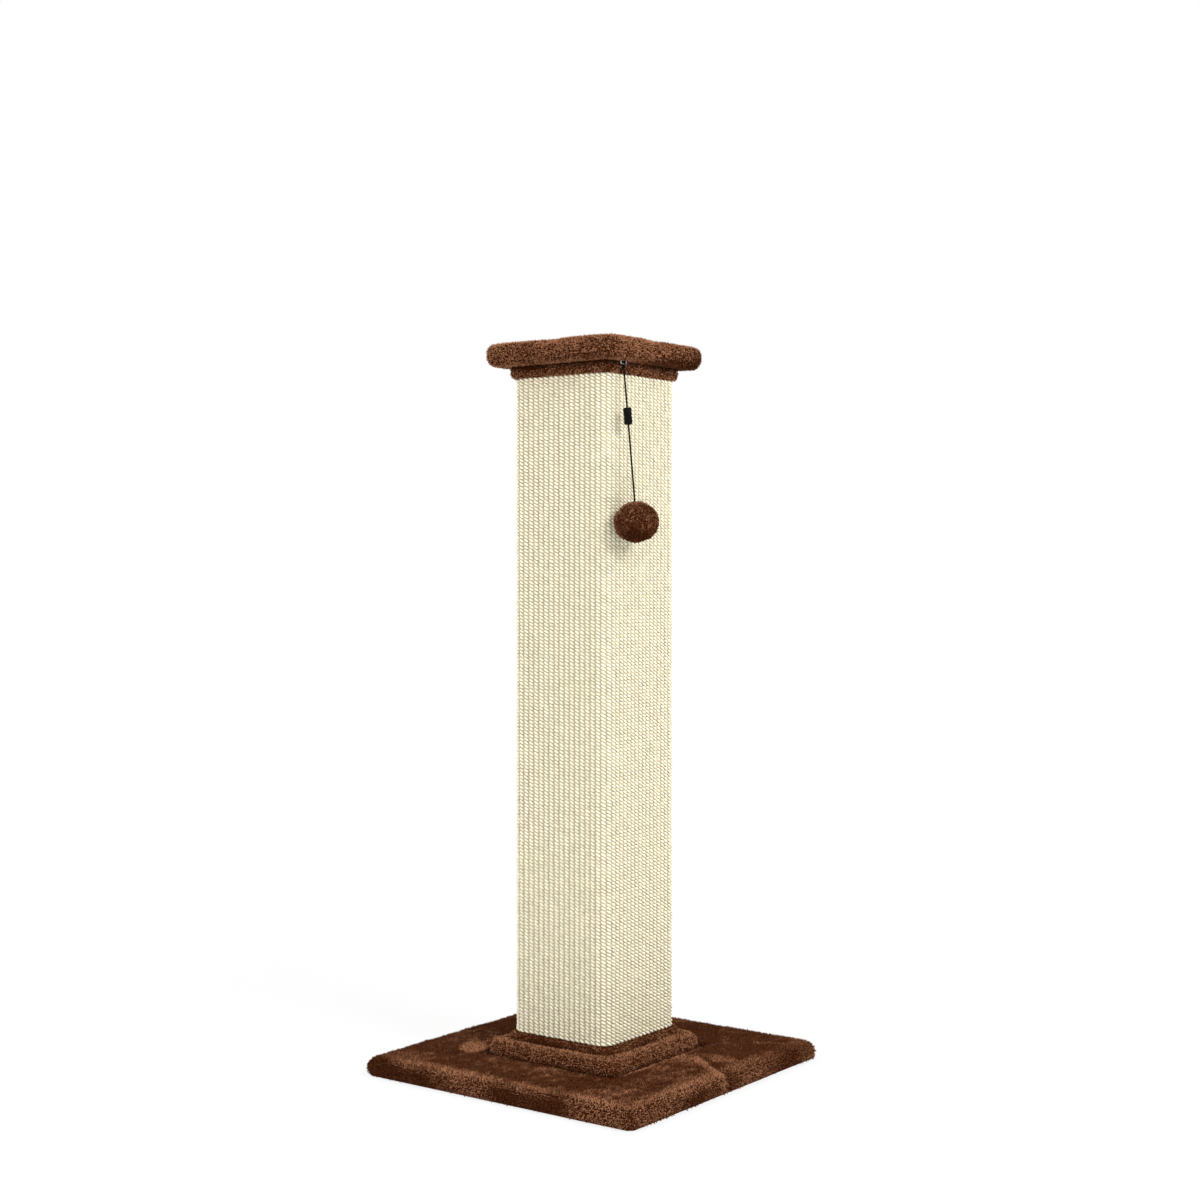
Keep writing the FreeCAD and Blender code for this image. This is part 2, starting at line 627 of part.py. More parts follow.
def round_lump(body, kind, across, along, drop):
    """Adds or takes away an egg shape on the cord's line, by its two widths."""
    lump = body.newObject(f"PartDesign::{kind}Ellipsoid", kind)
    lump.AttachmentSupport = [(origin_part(body, "XY_Plane"), "")]
    lump.MapMode = "FlatFace"
    lump.setExpression("AttachmentOffset.Base.z", formula(f"-({drop})"))
    lump.setExpression("Radius1", formula(f"({along}) / 2"))
    lump.setExpression("Radius2", formula(f"({across}) / 2"))
    lump.setExpression("Radius3", formula(f"({across}) / 2"))
    doc.recompute()


def make_toy():
    """Cord loop with its knot, cord with its stop knot, sleeve and the ball."""
    loop = new_toy_piece("cord_loop")
    sketch = new_sketch(loop, "0", "XZ_Plane")
    draw_circle(sketch, "cord_width", "0", "loop_radius")
    revolve(loop, sketch, (origin_part(loop, "X_Axis"), [""]))
    round_lump(loop, "Additive", "knot_width", "knot_width", "knot_drop")

    cord = new_toy_piece("toy_cord")
    sketch = new_sketch(cord, "-toy_length")
    draw_circle(sketch, "cord_width")
    pad(cord, sketch, "toy_length - cord_start")
    round_lump(cord, "Additive", "stop_width", "stop_width", "toy_length")

    sleeve = new_toy_piece("cord_sleeve")
    sketch = new_sketch(sleeve, "-(sleeve_drop + sleeve_length / 2)")
    draw_circle(sketch, "sleeve_width")
    draw_circle(sketch, "cord_width + 2 * thread_clear")
    pad(sleeve, sketch, "sleeve_length")
    rim = math.pi * (size_of("sleeve_width") + size_of("cord_width")) / 2
    dress_edges(sleeve, "Fillet", "sleeve_edge", lambda edge: edge.isClosed() and edge.Length > rim)

    core = new_toy_piece("ball_core")
    round_lump(core, "Additive", "core_across", "core_along", "toy_length")
    stop_room = "stop_width + 2 * cord_clear"
    round_lump(core, "Subtractive", stop_room, stop_room, "toy_length")
    sketch = new_sketch(core, "-toy_length")
    draw_circle(sketch, "cord_bore")
    pocket(core, sketch, "ball_height / 2")

    plush = new_toy_piece("ball_plush")
    round_lump(plush, "Additive", "ball_width", "ball_height", "toy_length")
    room_across = "core_across + 2 * plush_clear"
    room_along = "core_along + 2 * plush_clear"
    round_lump(plush, "Subtractive", room_across, room_along, "toy_length")
    sketch = new_sketch(plush, "-toy_length")
    draw_circle(sketch, "cord_bore")
    pocket(plush, sketch, "ball_height / 2")


def check_and_write():
    """Makes sure that every object is whole, then writes each piece to its own file."""
    doc.recompute()
    for item in doc.Objects:
        if {"Invalid", "Error"} & set(item.State):
            raise RuntimeError(f"{item.Name} of {item.Label} failed: {item.State}")
    for body in pieces:
        if body.Shape.isNull() or not body.Shape.isValid() or not body.Shape.Solids:
            raise RuntimeError(f"{body.Label} has no sound solid")
    os.makedirs("parts", exist_ok=True)
    for body in pieces:
        body.Shape.exportStep(os.path.join("parts", body.Label + ".step"))
        print(f"{body.Label}: {len(body.Shape.Solids)} solid(s), {body.Shape.Volume:.1f} mm3")


make_base()
make_foot_pad()
make_cap("lower", "lower_cap_level", "bolt_hole", "bolt_place")
make_post()
make_cap("upper", "upper_cap_level", "screw_hole", "screw_place")
make_perch()
make_fasteners()
make_staple()
make_toy()
check_and_write()
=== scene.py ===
"""Dresses a square cat scratching post: sisal matting, plush, a hanging toy and a pale studio.

Metres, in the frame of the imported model: +Z up, the floor at zero, the toy in front of the -Y side.
"""
import contextlib
import math

import bmesh
import bpy
import numpy as np
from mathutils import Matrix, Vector, noise


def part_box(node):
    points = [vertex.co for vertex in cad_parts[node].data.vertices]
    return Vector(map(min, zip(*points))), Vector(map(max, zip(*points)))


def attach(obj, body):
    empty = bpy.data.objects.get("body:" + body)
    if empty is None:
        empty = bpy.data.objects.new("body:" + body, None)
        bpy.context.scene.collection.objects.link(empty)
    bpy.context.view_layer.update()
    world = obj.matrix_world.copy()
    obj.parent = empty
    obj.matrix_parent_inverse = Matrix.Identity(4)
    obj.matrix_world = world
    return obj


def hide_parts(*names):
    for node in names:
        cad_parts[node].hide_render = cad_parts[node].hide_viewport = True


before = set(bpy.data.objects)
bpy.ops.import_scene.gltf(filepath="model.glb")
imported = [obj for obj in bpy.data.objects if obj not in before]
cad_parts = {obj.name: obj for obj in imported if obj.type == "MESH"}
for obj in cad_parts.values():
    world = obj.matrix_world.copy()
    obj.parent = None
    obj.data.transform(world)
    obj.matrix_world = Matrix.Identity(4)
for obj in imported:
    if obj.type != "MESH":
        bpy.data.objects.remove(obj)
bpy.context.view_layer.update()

bl_info = {
    "name": "Scratching post looks",
    "version": (1, 0, 0),
    "blender": (4, 5, 0),
    "location": "3D View > Sidebar > Scratching post",
    "description": "Dresses the packed scratching post with sisal, plush, its toy and a studio",
    "category": "Object",
}

QUARTER = math.pi / 2
STAND = "stand"
WASHER_RADIUS = 0.010
BASE_SECTORS = 8
LOCK_CORNERS = 24
LOOP_SEED = 5
BAKED_MAP = "OFBake"

SISAL_LOW, SISAL_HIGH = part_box("sisal_cover")
POST_HALF = SISAL_HIGH.x
POST_LENGTH = SISAL_HIGH.z - SISAL_LOW.z
CAP_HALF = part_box("upper_cap_plush")[1].x
FOOT_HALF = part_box("foot_pad_plush")[1].x
BASE_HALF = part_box("base_plush")[1].x
BOARD_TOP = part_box("base_board")[1].z
STAPLE_LOW, STAPLE_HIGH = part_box("toy_staple")
BALL_LOW, BALL_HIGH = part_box("ball_plush")
BALL_MIDDLE = (BALL_LOW + BALL_HIGH) / 2
BALL_FLATNESS = 46.0 / 51.6
KNOT_DROP = 0.0039
STRING_DROP = 0.0062
SLEEVE_HALF = 0.0095
RIM_START = 0.010
RIM_RUN = 0.024
FLOOR_SIZE = 12
SOFTBOX_SIZE = 1.3
SOFTBOX_PLACES = {
    "right": (1.2, -2.3, 1.9),
    "front": (-0.5, -3.0, 2.3),
    "left": (-2.3, 0.2, 1.9),
    "back": (1.8, 2.4, 1.9),
}


# Settings

class SisalSettings(bpy.types.PropertyGroup):
    """Sizes and colours of the woven sisal."""
    columns: bpy.props.IntProperty(
        name="Columns", description="Columns of loops on one side of the post", default=18, min=4)
    rows: bpy.props.IntProperty(
        name="Rows", description="Loops in one column", default=188, min=10)
    corner: bpy.props.FloatProperty(
        name="Corner", description="Radius of the matting round a corner of the post",
        default=0.0145, unit="LENGTH", precision=4)
    loop_length: bpy.props.FloatProperty(
        name="Loop length", description="Length of one loop of yarn", default=0.0079,
        unit="LENGTH", precision=4)
    loop_width: bpy.props.FloatProperty(
        name="Loop width", description="Width of one loop of yarn", default=0.0033,
        unit="LENGTH", precision=4)
    loop_rise: bpy.props.FloatProperty(
        name="Loop rise", description="Height of a loop over its backing", default=0.0024,
        unit="LENGTH", precision=4)
    slant: bpy.props.FloatProperty(
        name="Slant", description="Fall of a loop from its left end to its right one",
        default=math.radians(29), subtype="ANGLE")
    wobble: bpy.props.FloatProperty(
        name="Wobble", description="How far loops stray from the even grid", default=0.0016,
        unit="LENGTH", precision=4)
    backing: bpy.props.FloatProperty(
        name="Backing", description="Thickness of the cloth behind the loops", default=0.0022,
        unit="LENGTH", precision=4)
    seam_side: bpy.props.FloatProperty(
        name="Seam", description="Place of the seam on the back, from the middle", default=0.045,
        unit="LENGTH", precision=4)
    seam_gap: bpy.props.FloatProperty(
        name="Seam gap", description="Gap between the two ends of the matting", default=0.0008,
        unit="LENGTH", precision=4)
    straw: bpy.props.FloatVectorProperty(
        name="Straw", description="Colour of the bright crowns", subtype="COLOR",
        default=(0.95, 0.90, 0.715), min=0, max=1)
    shade: bpy.props.FloatVectorProperty(
        name="Shade", description="Colour deep between the loops", subtype="COLOR",
        default=(0.79, 0.72, 0.56), min=0, max=1)


class PlushSettings(bpy.types.PropertyGroup):
    """Sizes and colours of the plush."""
    pile: bpy.props.FloatProperty(
        name="Pile", description="Depth of the pile over its skin", default=0.0027,
        unit="LENGTH", precision=4)
    lock_length: bpy.props.FloatProperty(
        name="Lock length", description="Length of one lock of pile", default=0.0041,
        unit="LENGTH", precision=4)
    lock_width: bpy.props.FloatProperty(
        name="Lock width", description="Width of one lock of pile", default=0.0014,
        unit="LENGTH", precision=4)
    spacing: bpy.props.FloatProperty(
        name="Spacing", description="Least distance between two locks", default=0.0013,
        unit="LENGTH", precision=5)
    cloth: bpy.props.FloatProperty(
        name="Cloth", description="Thickness of the cloth that carries the pile", default=0.0012,
        unit="LENGTH", precision=4)
    mesh_size: bpy.props.FloatProperty(
        name="Mesh size", description="Size of the faces of a cover", default=0.0032,
        unit="LENGTH", precision=4)
    lumps: bpy.props.FloatProperty(
        name="Lumps", description="Unevenness of a cover", default=0.0016,
        unit="LENGTH", precision=4)
    base_corner: bpy.props.FloatProperty(
        name="Base corner", description="Corner radius of the base", default=0.011,
        unit="LENGTH", precision=4)
    base_round: bpy.props.FloatProperty(
        name="Base edge", description="Radius of the top edge of the base", default=0.009,
        unit="LENGTH", precision=4)
    base_fold: bpy.props.FloatProperty(
        name="Base fold", description="Width of the plush turned under the base", default=0.0368,
        unit="LENGTH", precision=4)
    pad_corner: bpy.props.FloatProperty(
        name="Pad corner", description="Corner radius of the foot pad and the perch", default=0.020,
        unit="LENGTH", precision=4)
    pad_round: bpy.props.FloatProperty(
        name="Pad edge", description="Radius of the edges of the foot pad and the perch",
        default=0.0095, unit="LENGTH", precision=4)
    pad_fold: bpy.props.FloatProperty(
        name="Pad fold", description="Width of the plush turned under a pad", default=0.034,
        unit="LENGTH", precision=4)
    cap_corner: bpy.props.FloatProperty(
        name="Cap corner", description="Corner radius of the plush bands", default=0.014,
        unit="LENGTH", precision=4)
    cap_round: bpy.props.FloatProperty(
        name="Cap edge", description="Radius of the edges of the plush bands", default=0.004,
        unit="LENGTH", precision=4)
    pressure: bpy.props.FloatProperty(
        name="Pressure", description="Push of the padding on a cover while it swells", default=4.0)
    swell: bpy.props.FloatProperty(
        name="Swell", description="How far a cover swells at most over its padding", default=0.0024,
        unit="LENGTH", precision=4)
    swell_frames: bpy.props.IntProperty(
        name="Swell frames", description="Steps of the simulation that swells a cover",
        default=20, min=2)
    floor_gap: bpy.props.FloatProperty(
        name="Floor gap", description="Gap between the plush and the floor", default=0.0003,
        unit="LENGTH", precision=4)
    patch_place: bpy.props.FloatVectorProperty(
        name="Patch", description="Middle of the light patch of nap beside the foot pad",
        size=2, default=(-0.081, 0.117), unit="LENGTH")
    crease_start: bpy.props.FloatVectorProperty(
        name="Crease start", description="Where the parting of the base plush leaves the foot pad",
        size=2, default=(0.050, -0.105), unit="LENGTH")
    crease_end: bpy.props.FloatVectorProperty(
        name="Crease end", description="Where the parting of the base plush meets the edge",
        size=2, default=(-0.012, -0.194), unit="LENGTH")
    crease_depth: bpy.props.FloatProperty(
        name="Crease depth", description="Depth of the parting", default=0.0026,
        unit="LENGTH", precision=4)
    crease_width: bpy.props.FloatProperty(
        name="Crease width", description="Width of the parting", default=0.007,
        unit="LENGTH", precision=4)
    # Painted shade deep in the pile is part of the root colour.
    root: bpy.props.FloatVectorProperty(
        name="Root", description="Colour at the roots of the pile", subtype="COLOR",
        default=(0.062, 0.0142, 0.0031), min=0, max=1)
    tip: bpy.props.FloatVectorProperty(
        name="Tip", description="Colour at the tips of the pile", subtype="COLOR",
        default=(0.422, 0.190, 0.097), min=0, max=1)


class ToySettings(bpy.types.PropertyGroup):
    """Sizes and colours of the hanging toy."""
    string_width: bpy.props.FloatProperty(
        name="String", description="Diameter of the string", default=0.002,
        unit="LENGTH", precision=4)
    string_colour: bpy.props.FloatVectorProperty(
        name="String colour", description="Colour of the string", subtype="COLOR",
        default=(0.005, 0.0045, 0.004), min=0, max=1)
    sleeve_colour: bpy.props.FloatVectorProperty(
        name="Sleeve colour", description="Colour of the plastic sleeve", subtype="COLOR",
        default=(0.005, 0.0045, 0.004), min=0, max=1)
    ball_pile: bpy.props.FloatProperty(
        name="Ball pile", description="Depth of the pile on the ball", default=0.0030,
        unit="LENGTH", precision=4)


class StudioSettings(bpy.types.PropertyGroup):
    """The camera and the light."""
    lens: bpy.props.FloatProperty(
        name="Lens", description="Focal length on the sensor", default=56.70, unit="CAMERA")
    sensor: bpy.props.FloatProperty(
        name="Sensor", description="Width of the sensor", default=36, unit="CAMERA")
    eye: bpy.props.FloatVectorProperty(
        name="Eye", description="Place of the camera", default=(-1.7572, -1.3143, 0.5742),
        unit="LENGTH")
    heading: bpy.props.FloatProperty(
        name="Heading", description="Turn of the view from +X towards +Y",
        default=math.radians(36.634), subtype="ANGLE")
    pitch: bpy.props.FloatProperty(
        name="Pitch", description="Fall of the view below the horizon",
        default=math.radians(0.7915), subtype="ANGLE")
    ambient: bpy.props.FloatProperty(
        name="Ambient", description="Strength of the even light from all round", default=0.68, min=0)
    right_power: bpy.props.FloatProperty(
        name="Right softbox", description="Power of the softbox on the right", default=5, unit="POWER")
    front_power: bpy.props.FloatProperty(
        name="Front softbox", description="Power of the softbox in front", default=72, unit="POWER")
    left_power: bpy.props.FloatProperty(
        name="Left softbox", description="Power of the softbox on the left", default=24, unit="POWER")
    back_power: bpy.props.FloatProperty(
        name="Back softbox", description="Power of the softbox behind", default=20, unit="POWER")
    floor: bpy.props.FloatVectorProperty(
        name="Floor", description="Colour of the floor", subtype="COLOR", default=(0.93, 0.93, 0.93))
    floor_white: bpy.props.FloatProperty(
        name="Floor white", description="How far the floor near the post is lifted to plain white",
        default=0.80, min=0, max=1, subtype="FACTOR")
    floor_reach: bpy.props.FloatProperty(
        name="Floor reach", description="Distance from the post at which the floor is all white",
        default=1.6, unit="LENGTH")


# Handling of pieces

def deselect_all():
    """Leaves edit mode and clears the selection."""
    if bpy.context.mode != "OBJECT":
        bpy.ops.object.mode_set(mode="OBJECT")
    bpy.ops.object.select_all(action="DESELECT")


def choose(piece):
    """Makes one piece the only selected one."""
    deselect_all()
    piece.select_set(True)
    bpy.context.view_layer.objects.active = piece


def name_new(name):
    """Names the object that was added last, and its data."""
    piece = bpy.context.active_object
    piece.name = name
    piece.data.name = name
    return piece


def settle(piece):
    """Puts a piece's place, turn and scale into its mesh."""
    choose(piece)
    bpy.ops.object.transform_apply(location=True, rotation=True, scale=True)


@contextlib.contextmanager
def editing(piece):
    """Edit mode on one piece, with nothing of it selected at first."""
    choose(piece)
    bpy.ops.object.mode_set(mode="EDIT")
    bpy.ops.mesh.select_all(action="DESELECT")
    yield
    bpy.ops.object.mode_set(mode="OBJECT")


def pick(piece, kind, test):
    """Selects the vertices, edges or faces of a piece in edit mode that pass a test."""
    bpy.ops.mesh.select_all(action="DESELECT")
    bpy.ops.mesh.select_mode(type={"verts": "VERT", "edges": "EDGE", "faces": "FACE"}[kind])
    mesh = bmesh.from_edit_mesh(piece.data)
    for part in getattr(mesh, kind):
        if test(part):
            part.select_set(True)
    mesh.select_flush_mode()
    bmesh.update_edit_mesh(piece.data)


def shape_with(piece, kind, **settings):
    """Adds a modifier to a piece, sets it and applies it."""
    modifier = piece.modifiers.new(kind.title(), kind)
    for setting, value in settings.items():
        setattr(modifier, setting, value)
    choose(piece)
    bpy.ops.object.modifier_apply(modifier=modifier.name)


def smooth(piece):
    """Shades a piece smooth."""
    choose(piece)
    bpy.ops.object.shade_smooth()


def copy_of(piece, name):
    """A copy of a piece with a mesh of its own."""
    choose(piece)
    bpy.ops.object.duplicate(linked=False)
    return name_new(name)


def remove(piece):
    """Takes a helper object out of the scene."""
    bpy.data.objects.remove(piece)


def read_points(piece):
    """The vertices of a piece as an array of points."""
    points = np.empty(len(piece.data.vertices) * 3, np.float32)
    piece.data.vertices.foreach_get("co", points)
    return points.reshape(-1, 3)


def write_points(piece, points):
    """Moves the vertices of a piece to an array of points."""
    piece.data.vertices.foreach_set("co", points.astype(np.float32).ravel())
    piece.data.update()


def write_attribute(piece, name, values):
    """Keeps one number for each vertex under a name."""
    attribute = piece.data.attributes.get(name) or piece.data.attributes.new(name, "FLOAT", "POINT")
    attribute.data.foreach_set("value", np.asarray(values, np.float32))


def soft_noise(points, scale, seed):
    """A smooth noise at each point, from about -1 to 1."""
    shift = Vector((seed, 2.3 * seed, 0.7 * seed))
    return np.array([noise.noise(Vector(point) * scale + shift) for point in points.tolist()])


def lay_out_map(piece):
    """Unfolds a small piece that will be repeated, on the map named for baking."""
    while piece.data.uv_layers:
        piece.data.uv_layers.remove(piece.data.uv_layers[0])
    piece.data.uv_layers.new(name=BAKED_MAP)
    with editing(piece):
        bpy.ops.mesh.select_all(action="SELECT")
        bpy.ops.uv.smart_project(angle_limit=1.15, island_margin=0.03, scale_to_bounds=True)


def spread_map(piece, corners):
    """Gives each repeat in a piece, known by its count of face corners, a cell of the map of its own."""
    places = np.empty(len(piece.data.loops) * 2, np.float32)
    layer = piece.data.uv_layers[BAKED_MAP]
    layer.uv.foreach_get("vector", places)
    repeats = len(piece.data.loops) // corners
    if repeats * corners != len(piece.data.loops):
        raise RuntimeError(f"{piece.name} has a repeat of another size")
    across = math.ceil(math.sqrt(repeats))
    row, column = np.divmod(np.arange(repeats), across)
    cells = np.repeat(np.stack((column, row), axis=1), corners, axis=0)
    places = (places.reshape(-1, 2) * 0.92 + 0.04 + cells) / across
    layer.uv.foreach_set("vector", places.astype(np.float32).ravel())


def ease(share):
    """A soft step from 0 to 1."""
    share = np.clip(share, 0, 1)
    return share * share * (3 - 2 * share)


def past(values, start, run):
    """A soft step from 0 at a start to 1 a run further on."""
    return ease((values - start) / run)


def near(values, place, width):
    """A soft band: 1 within half a width of a place, 0 beyond one and a half."""
    return ease(1.5 - np.abs(values - place) / width)


def clouds(name, size, coloured=False):
    """A soft noise for moving the points of a mesh."""
    texture = bpy.data.textures.get(name) or bpy.data.textures.new(name, "CLOUDS")
    texture.noise_scale = size
    texture.cloud_type = "COLOR" if coloured else "GRAYSCALE"
    return texture


def hand_over(piece, body, slot, finish, *stands_for):
    """Gives a finished piece its material, its body and the nodes that it stands for."""
    piece.data.materials.clear()
    piece.data.materials.append(finish)
    if stands_for:
        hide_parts(*stands_for)
    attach(piece, body)


# Materials

def connect(tree, node, inputs):
    """Gives a node its inputs, which are values or the outputs of other nodes."""
    for socket, value in inputs.items():
        if isinstance(value, bpy.types.NodeSocket):
            tree.links.new(value, node.inputs[socket])
        else:
            node.inputs[socket].default_value = value


def add_node(tree, kind, inputs=None, **settings):
    """Adds a node with its settings and its inputs."""
    node = tree.nodes.new(kind)
    for setting, value in settings.items():
        setattr(node, setting, value)
    connect(tree, node, inputs or {})
    return node


def new_finish(name):
    """An empty material with its shader, and the place on the piece."""
    finish = bpy.data.materials.new(name)
    finish.use_nodes = True
    tree = finish.node_tree
    place = add_node(tree, "ShaderNodeTexCoord").outputs["Object"]
    return finish, tree, tree.nodes["Principled BSDF"], place


def noise_value(tree, place, scale, detail=2.0):
    """A soft noise between 0 and 1."""
    inputs = {"Vector": place, "Scale": scale, "Detail": detail}
    return add_node(tree, "ShaderNodeTexNoise", inputs).outputs[0]


def spread_value(tree, value, low, high, start=0.0, end=1.0):
    """Maps a value from one span to another."""
    spans = {0: value, 1: start, 2: end, 3: low, 4: high}
    return add_node(tree, "ShaderNodeMapRange", spans).outputs[0]


def blend_colours(tree, share, first, second, mode="MIX"):
    """Mixes two colours, each a colour or an output."""
    def colour(value):
        return value if isinstance(value, bpy.types.NodeSocket) else (*value, 1.0)
    node = add_node(tree, "ShaderNodeMix", {0: share, 6: colour(first), 7: colour(second)},
                    data_type="RGBA", blend_type=mode)
    return node.outputs[2]


def brighten(tree, colour, amount):
    """Scales a colour by a value."""
    inputs = {0: colour, "Scale": amount}
    return add_node(tree, "ShaderNodeVectorMath", inputs, operation="SCALE").outputs[0]


def multiply(tree, first, second):
    """The product of two values."""
    return add_node(tree, "ShaderNodeMath", {0: first, 1: second}, operation="MULTIPLY").outputs[0]


def give_bump(tree, shader, height, strength, distance):
    """Roughens a surface by a value."""
    inputs = {"Height": height, "Strength": strength, "Distance": distance}
    connect(tree, shader, {"Normal": add_node(tree, "ShaderNodeBump", inputs).outputs[0]})


def sisal_finish(settings):
    """Dry sisal yarn: straw-coloured fibres, with painted shade deep between the loops that leaves the
    crowns paler, each loop a little different.
    """
    finish, tree, shader, place = new_finish("sisal_yarn")
    rise = add_node(tree, "ShaderNodeAttribute", attribute_name="rise").outputs["Fac"]
    own = add_node(tree, "ShaderNodeAttribute", attribute_name="own").outputs["Fac"]
    fibres = add_node(tree, "ShaderNodeMapping", {
        "Vector": place, "Rotation": (0, -settings.slant, 0), "Scale": (160, 160, 2600)}).outputs[0]
    strands = noise_value(tree, fibres, 1.0, 3.0)
    # Painted shade: by the loops' rise, the yarn goes from the shade colour deep between the loops to
    # the straw colour on the crowns.
    crown_light = spread_value(tree, rise, 0, 1, 0.1, 0.75)
    colour = blend_colours(tree, crown_light, settings.shade, settings.straw)
    patches = spread_value(tree, noise_value(tree, place, 26), 0, 0.35, 0.45, 0.75)
    green = blend_colours(tree, patches, colour, (0.82, 0.81, 0.58))
    by_loop = spread_value(tree, own, 0.93, 1.06)
    by_strand = spread_value(tree, strands, 0.88, 1.08, 0.25, 0.75)
    connect(tree, shader, {
        "Base Color": brighten(tree, green, multiply(tree, by_loop, by_strand)),
        "Roughness": 0.82, "Specular IOR Level": 0.25})
    give_bump(tree, shader, strands, 0.5, 0.0003)
    return finish


def backing_finish():
    """The brown cloth behind the loops."""
    finish, tree, shader, place = new_finish("sisal_backing")
    threads = noise_value(tree, place, 900)
    colour = blend_colours(tree, threads, (0.48, 0.41, 0.28), (0.62, 0.54, 0.38))
    connect(tree, shader, {"Base Color": colour, "Roughness": 0.95})
    give_bump(tree, shader, threads, 0.6, 0.0005)
    return finish


# Each piece calls this with a level of its own; the levels make lighter and darker copies of the one
# plush as painted light and shade, highest on the perch and the bands, lowest on the ball.
def plush_finish(settings, name, level, mottle=0.95):
    """Short brown plush: roots darkened as painted shade deep in the pile, warm tips, and patches where
    the nap lies another way, which on some pieces also carry painted light and shade.
    """
    finish, tree, shader, place = new_finish(name)
    tip = add_node(tree, "ShaderNodeAttribute", attribute_name="tip").outputs["Fac"]
    own = add_node(tree, "ShaderNodeNewGeometry").outputs["Random Per Island"]
    nap = add_node(tree, "ShaderNodeAttribute", attribute_name="nap").outputs["Fac"]
    curls = noise_value(tree, place, 270)
    stroked = add_node(tree, "ShaderNodeMapping", {
        "Vector": place, "Rotation": (0, 0, 0.9), "Scale": (26, 150, 90)}).outputs[0]
    streaks = add_node(tree, "ShaderNodeTexNoise", {
        "Vector": stroked, "Scale": 1.0, "Detail": 2.0, "Distortion": 1.2}).outputs[0]
    # The nap also carries painted light and shade, set piece by piece: a higher nap is darker.
    raised = spread_value(tree, nap, 1.6, 0.8, -1, 0)
    pressed = spread_value(tree, nap, 1.0, 0.15, 0, 0.75)
    # Painted shade: the share of the tip colour falls towards the roots, so the pile is dark deep down.
    share = spread_value(tree, tip, 0, level, 0.15, 1.0)
    share = multiply(tree, share, multiply(tree, raised, pressed))
    share = multiply(tree, share, spread_value(tree, own, 0.45, 1.55))
    share = multiply(tree, share, spread_value(tree, curls, 1 - mottle, 1 + mottle, 0.33, 0.67))
    share = multiply(tree, share, spread_value(tree, streaks, 0.9, 2.2, 0.55, 0.75))
    connect(tree, shader, {
        "Base Color": blend_colours(tree, share, settings.root, settings.tip),
        "Roughness": 0.9, "Specular IOR Level": 0.03,
        "Sheen Weight": 0.02, "Sheen Roughness": 0.4, "Sheen Tint": (0.85, 0.58, 0.42, 1)})
    give_bump(tree, shader, noise_value(tree, place, 1500), 0.4, 0.0006)
    return finish


def felt_finish():
    """Black pressed felt with stray grey fibres."""
    finish, tree, shader, place = new_finish("underside_felt")
    fibres = noise_value(tree, place, 700, 4.0)
    stray = spread_value(tree, fibres, 0, 1, 0.35, 0.75)
    colour = blend_colours(tree, stray, (0.012, 0.012, 0.013), (0.050, 0.048, 0.046))
    connect(tree, shader, {"Base Color": colour, "Roughness": 0.97, "Specular IOR Level": 0.1})
    give_bump(tree, shader, fibres, 0.7, 0.0008)
    return finish


def board_finish():
    """Particle board: pressed chips of several browns."""
    finish, tree, shader, place = new_finish("particle_board")
    chips = add_node(tree, "ShaderNodeTexVoronoi", {"Vector": place, "Scale": 420}).outputs["Color"]
    grain = noise_value(tree, place, 150, 4.0)
    chip = add_node(tree, "ShaderNodeSeparateColor", {0: chips}).outputs[0]
    colour = blend_colours(tree, chip, (0.36, 0.23, 0.12), (0.62, 0.46, 0.28))
    colour = brighten(tree, colour, spread_value(tree, grain, 0.75, 1.2))
    connect(tree, shader, {"Base Color": colour, "Roughness": 0.8})
    give_bump(tree, shader, chip, 0.3, 0.0004)
    return finish


def steel_finish():
    """Zinc-plated steel with cloudy dull spots."""
    finish, tree, shader, place = new_finish("plated_steel")
    spots = noise_value(tree, place, 240, 4.0)
    colour = blend_colours(tree, spots, (0.52, 0.52, 0.50), (0.74, 0.74, 0.72))
    dullness = spread_value(tree, spots, 0.22, 0.48, 0.3, 0.7)
    connect(tree, shader, {"Base Color": colour, "Metallic": 1.0, "Roughness": dullness})
    give_bump(tree, shader, spots, 0.1, 0.0002)
    return finish


def string_finish(settings):
    """Black braided string."""
    finish, tree, shader, place = new_finish("black_string")
    turned = add_node(tree, "ShaderNodeMapping", {
        "Vector": place, "Rotation": (0.5, 0.5, 0)}).outputs[0]
    braid = add_node(tree, "ShaderNodeTexWave", {
        "Vector": turned, "Scale": 420, "Distortion": 1.5}, bands_direction="Z").outputs["Fac"]
    colour = blend_colours(tree, braid, settings.string_colour, (0.014, 0.013, 0.012))
    connect(tree, shader, {"Base Color": colour, "Roughness": 0.8, "Specular IOR Level": 0.03})
    give_bump(tree, shader, braid, 0.8, 0.0004)
    return finish


def plastic_finish(settings):
    """Black moulded plastic with a fine grain."""
    finish, tree, shader, place = new_finish("black_plastic")
    wear = noise_value(tree, place, 120, 3.0)
    connect(tree, shader, {
        "Base Color": (*settings.sleeve_colour, 1), "Roughness": spread_value(tree, wear, 0.32, 0.52),
        "Specular IOR Level": 0.03})
    give_bump(tree, shader, noise_value(tree, place, 1800), 0.15, 0.0002)
    return finish


# Sisal matting

def model_loop(settings):
    """One loop of yarn on the front of the post: a slanted egg with a flat back."""
    deselect_all()
    bpy.ops.mesh.primitive_uv_sphere_add(
        segments=8, ring_count=5, radius=0.5, rotation=(0, QUARTER, 0))
    loop = name_new("sisal_loop")
    settle(loop)
    loop.scale = (settings.loop_length, 2 * settings.loop_rise, settings.loop_width)
    settle(loop)
    with editing(loop):
        bpy.ops.mesh.select_all(action="SELECT")
        bpy.ops.mesh.bisect(plane_co=(0, 0, 0), plane_no=(0, 1, 0), use_fill=True, clear_outer=True)
    write_attribute(loop, "rise", -read_points(loop)[:, 1] / settings.loop_rise)
    lay_out_map(loop)
    loop.rotation_euler.y = settings.slant
    settle(loop)
    smooth(loop)
    return loop


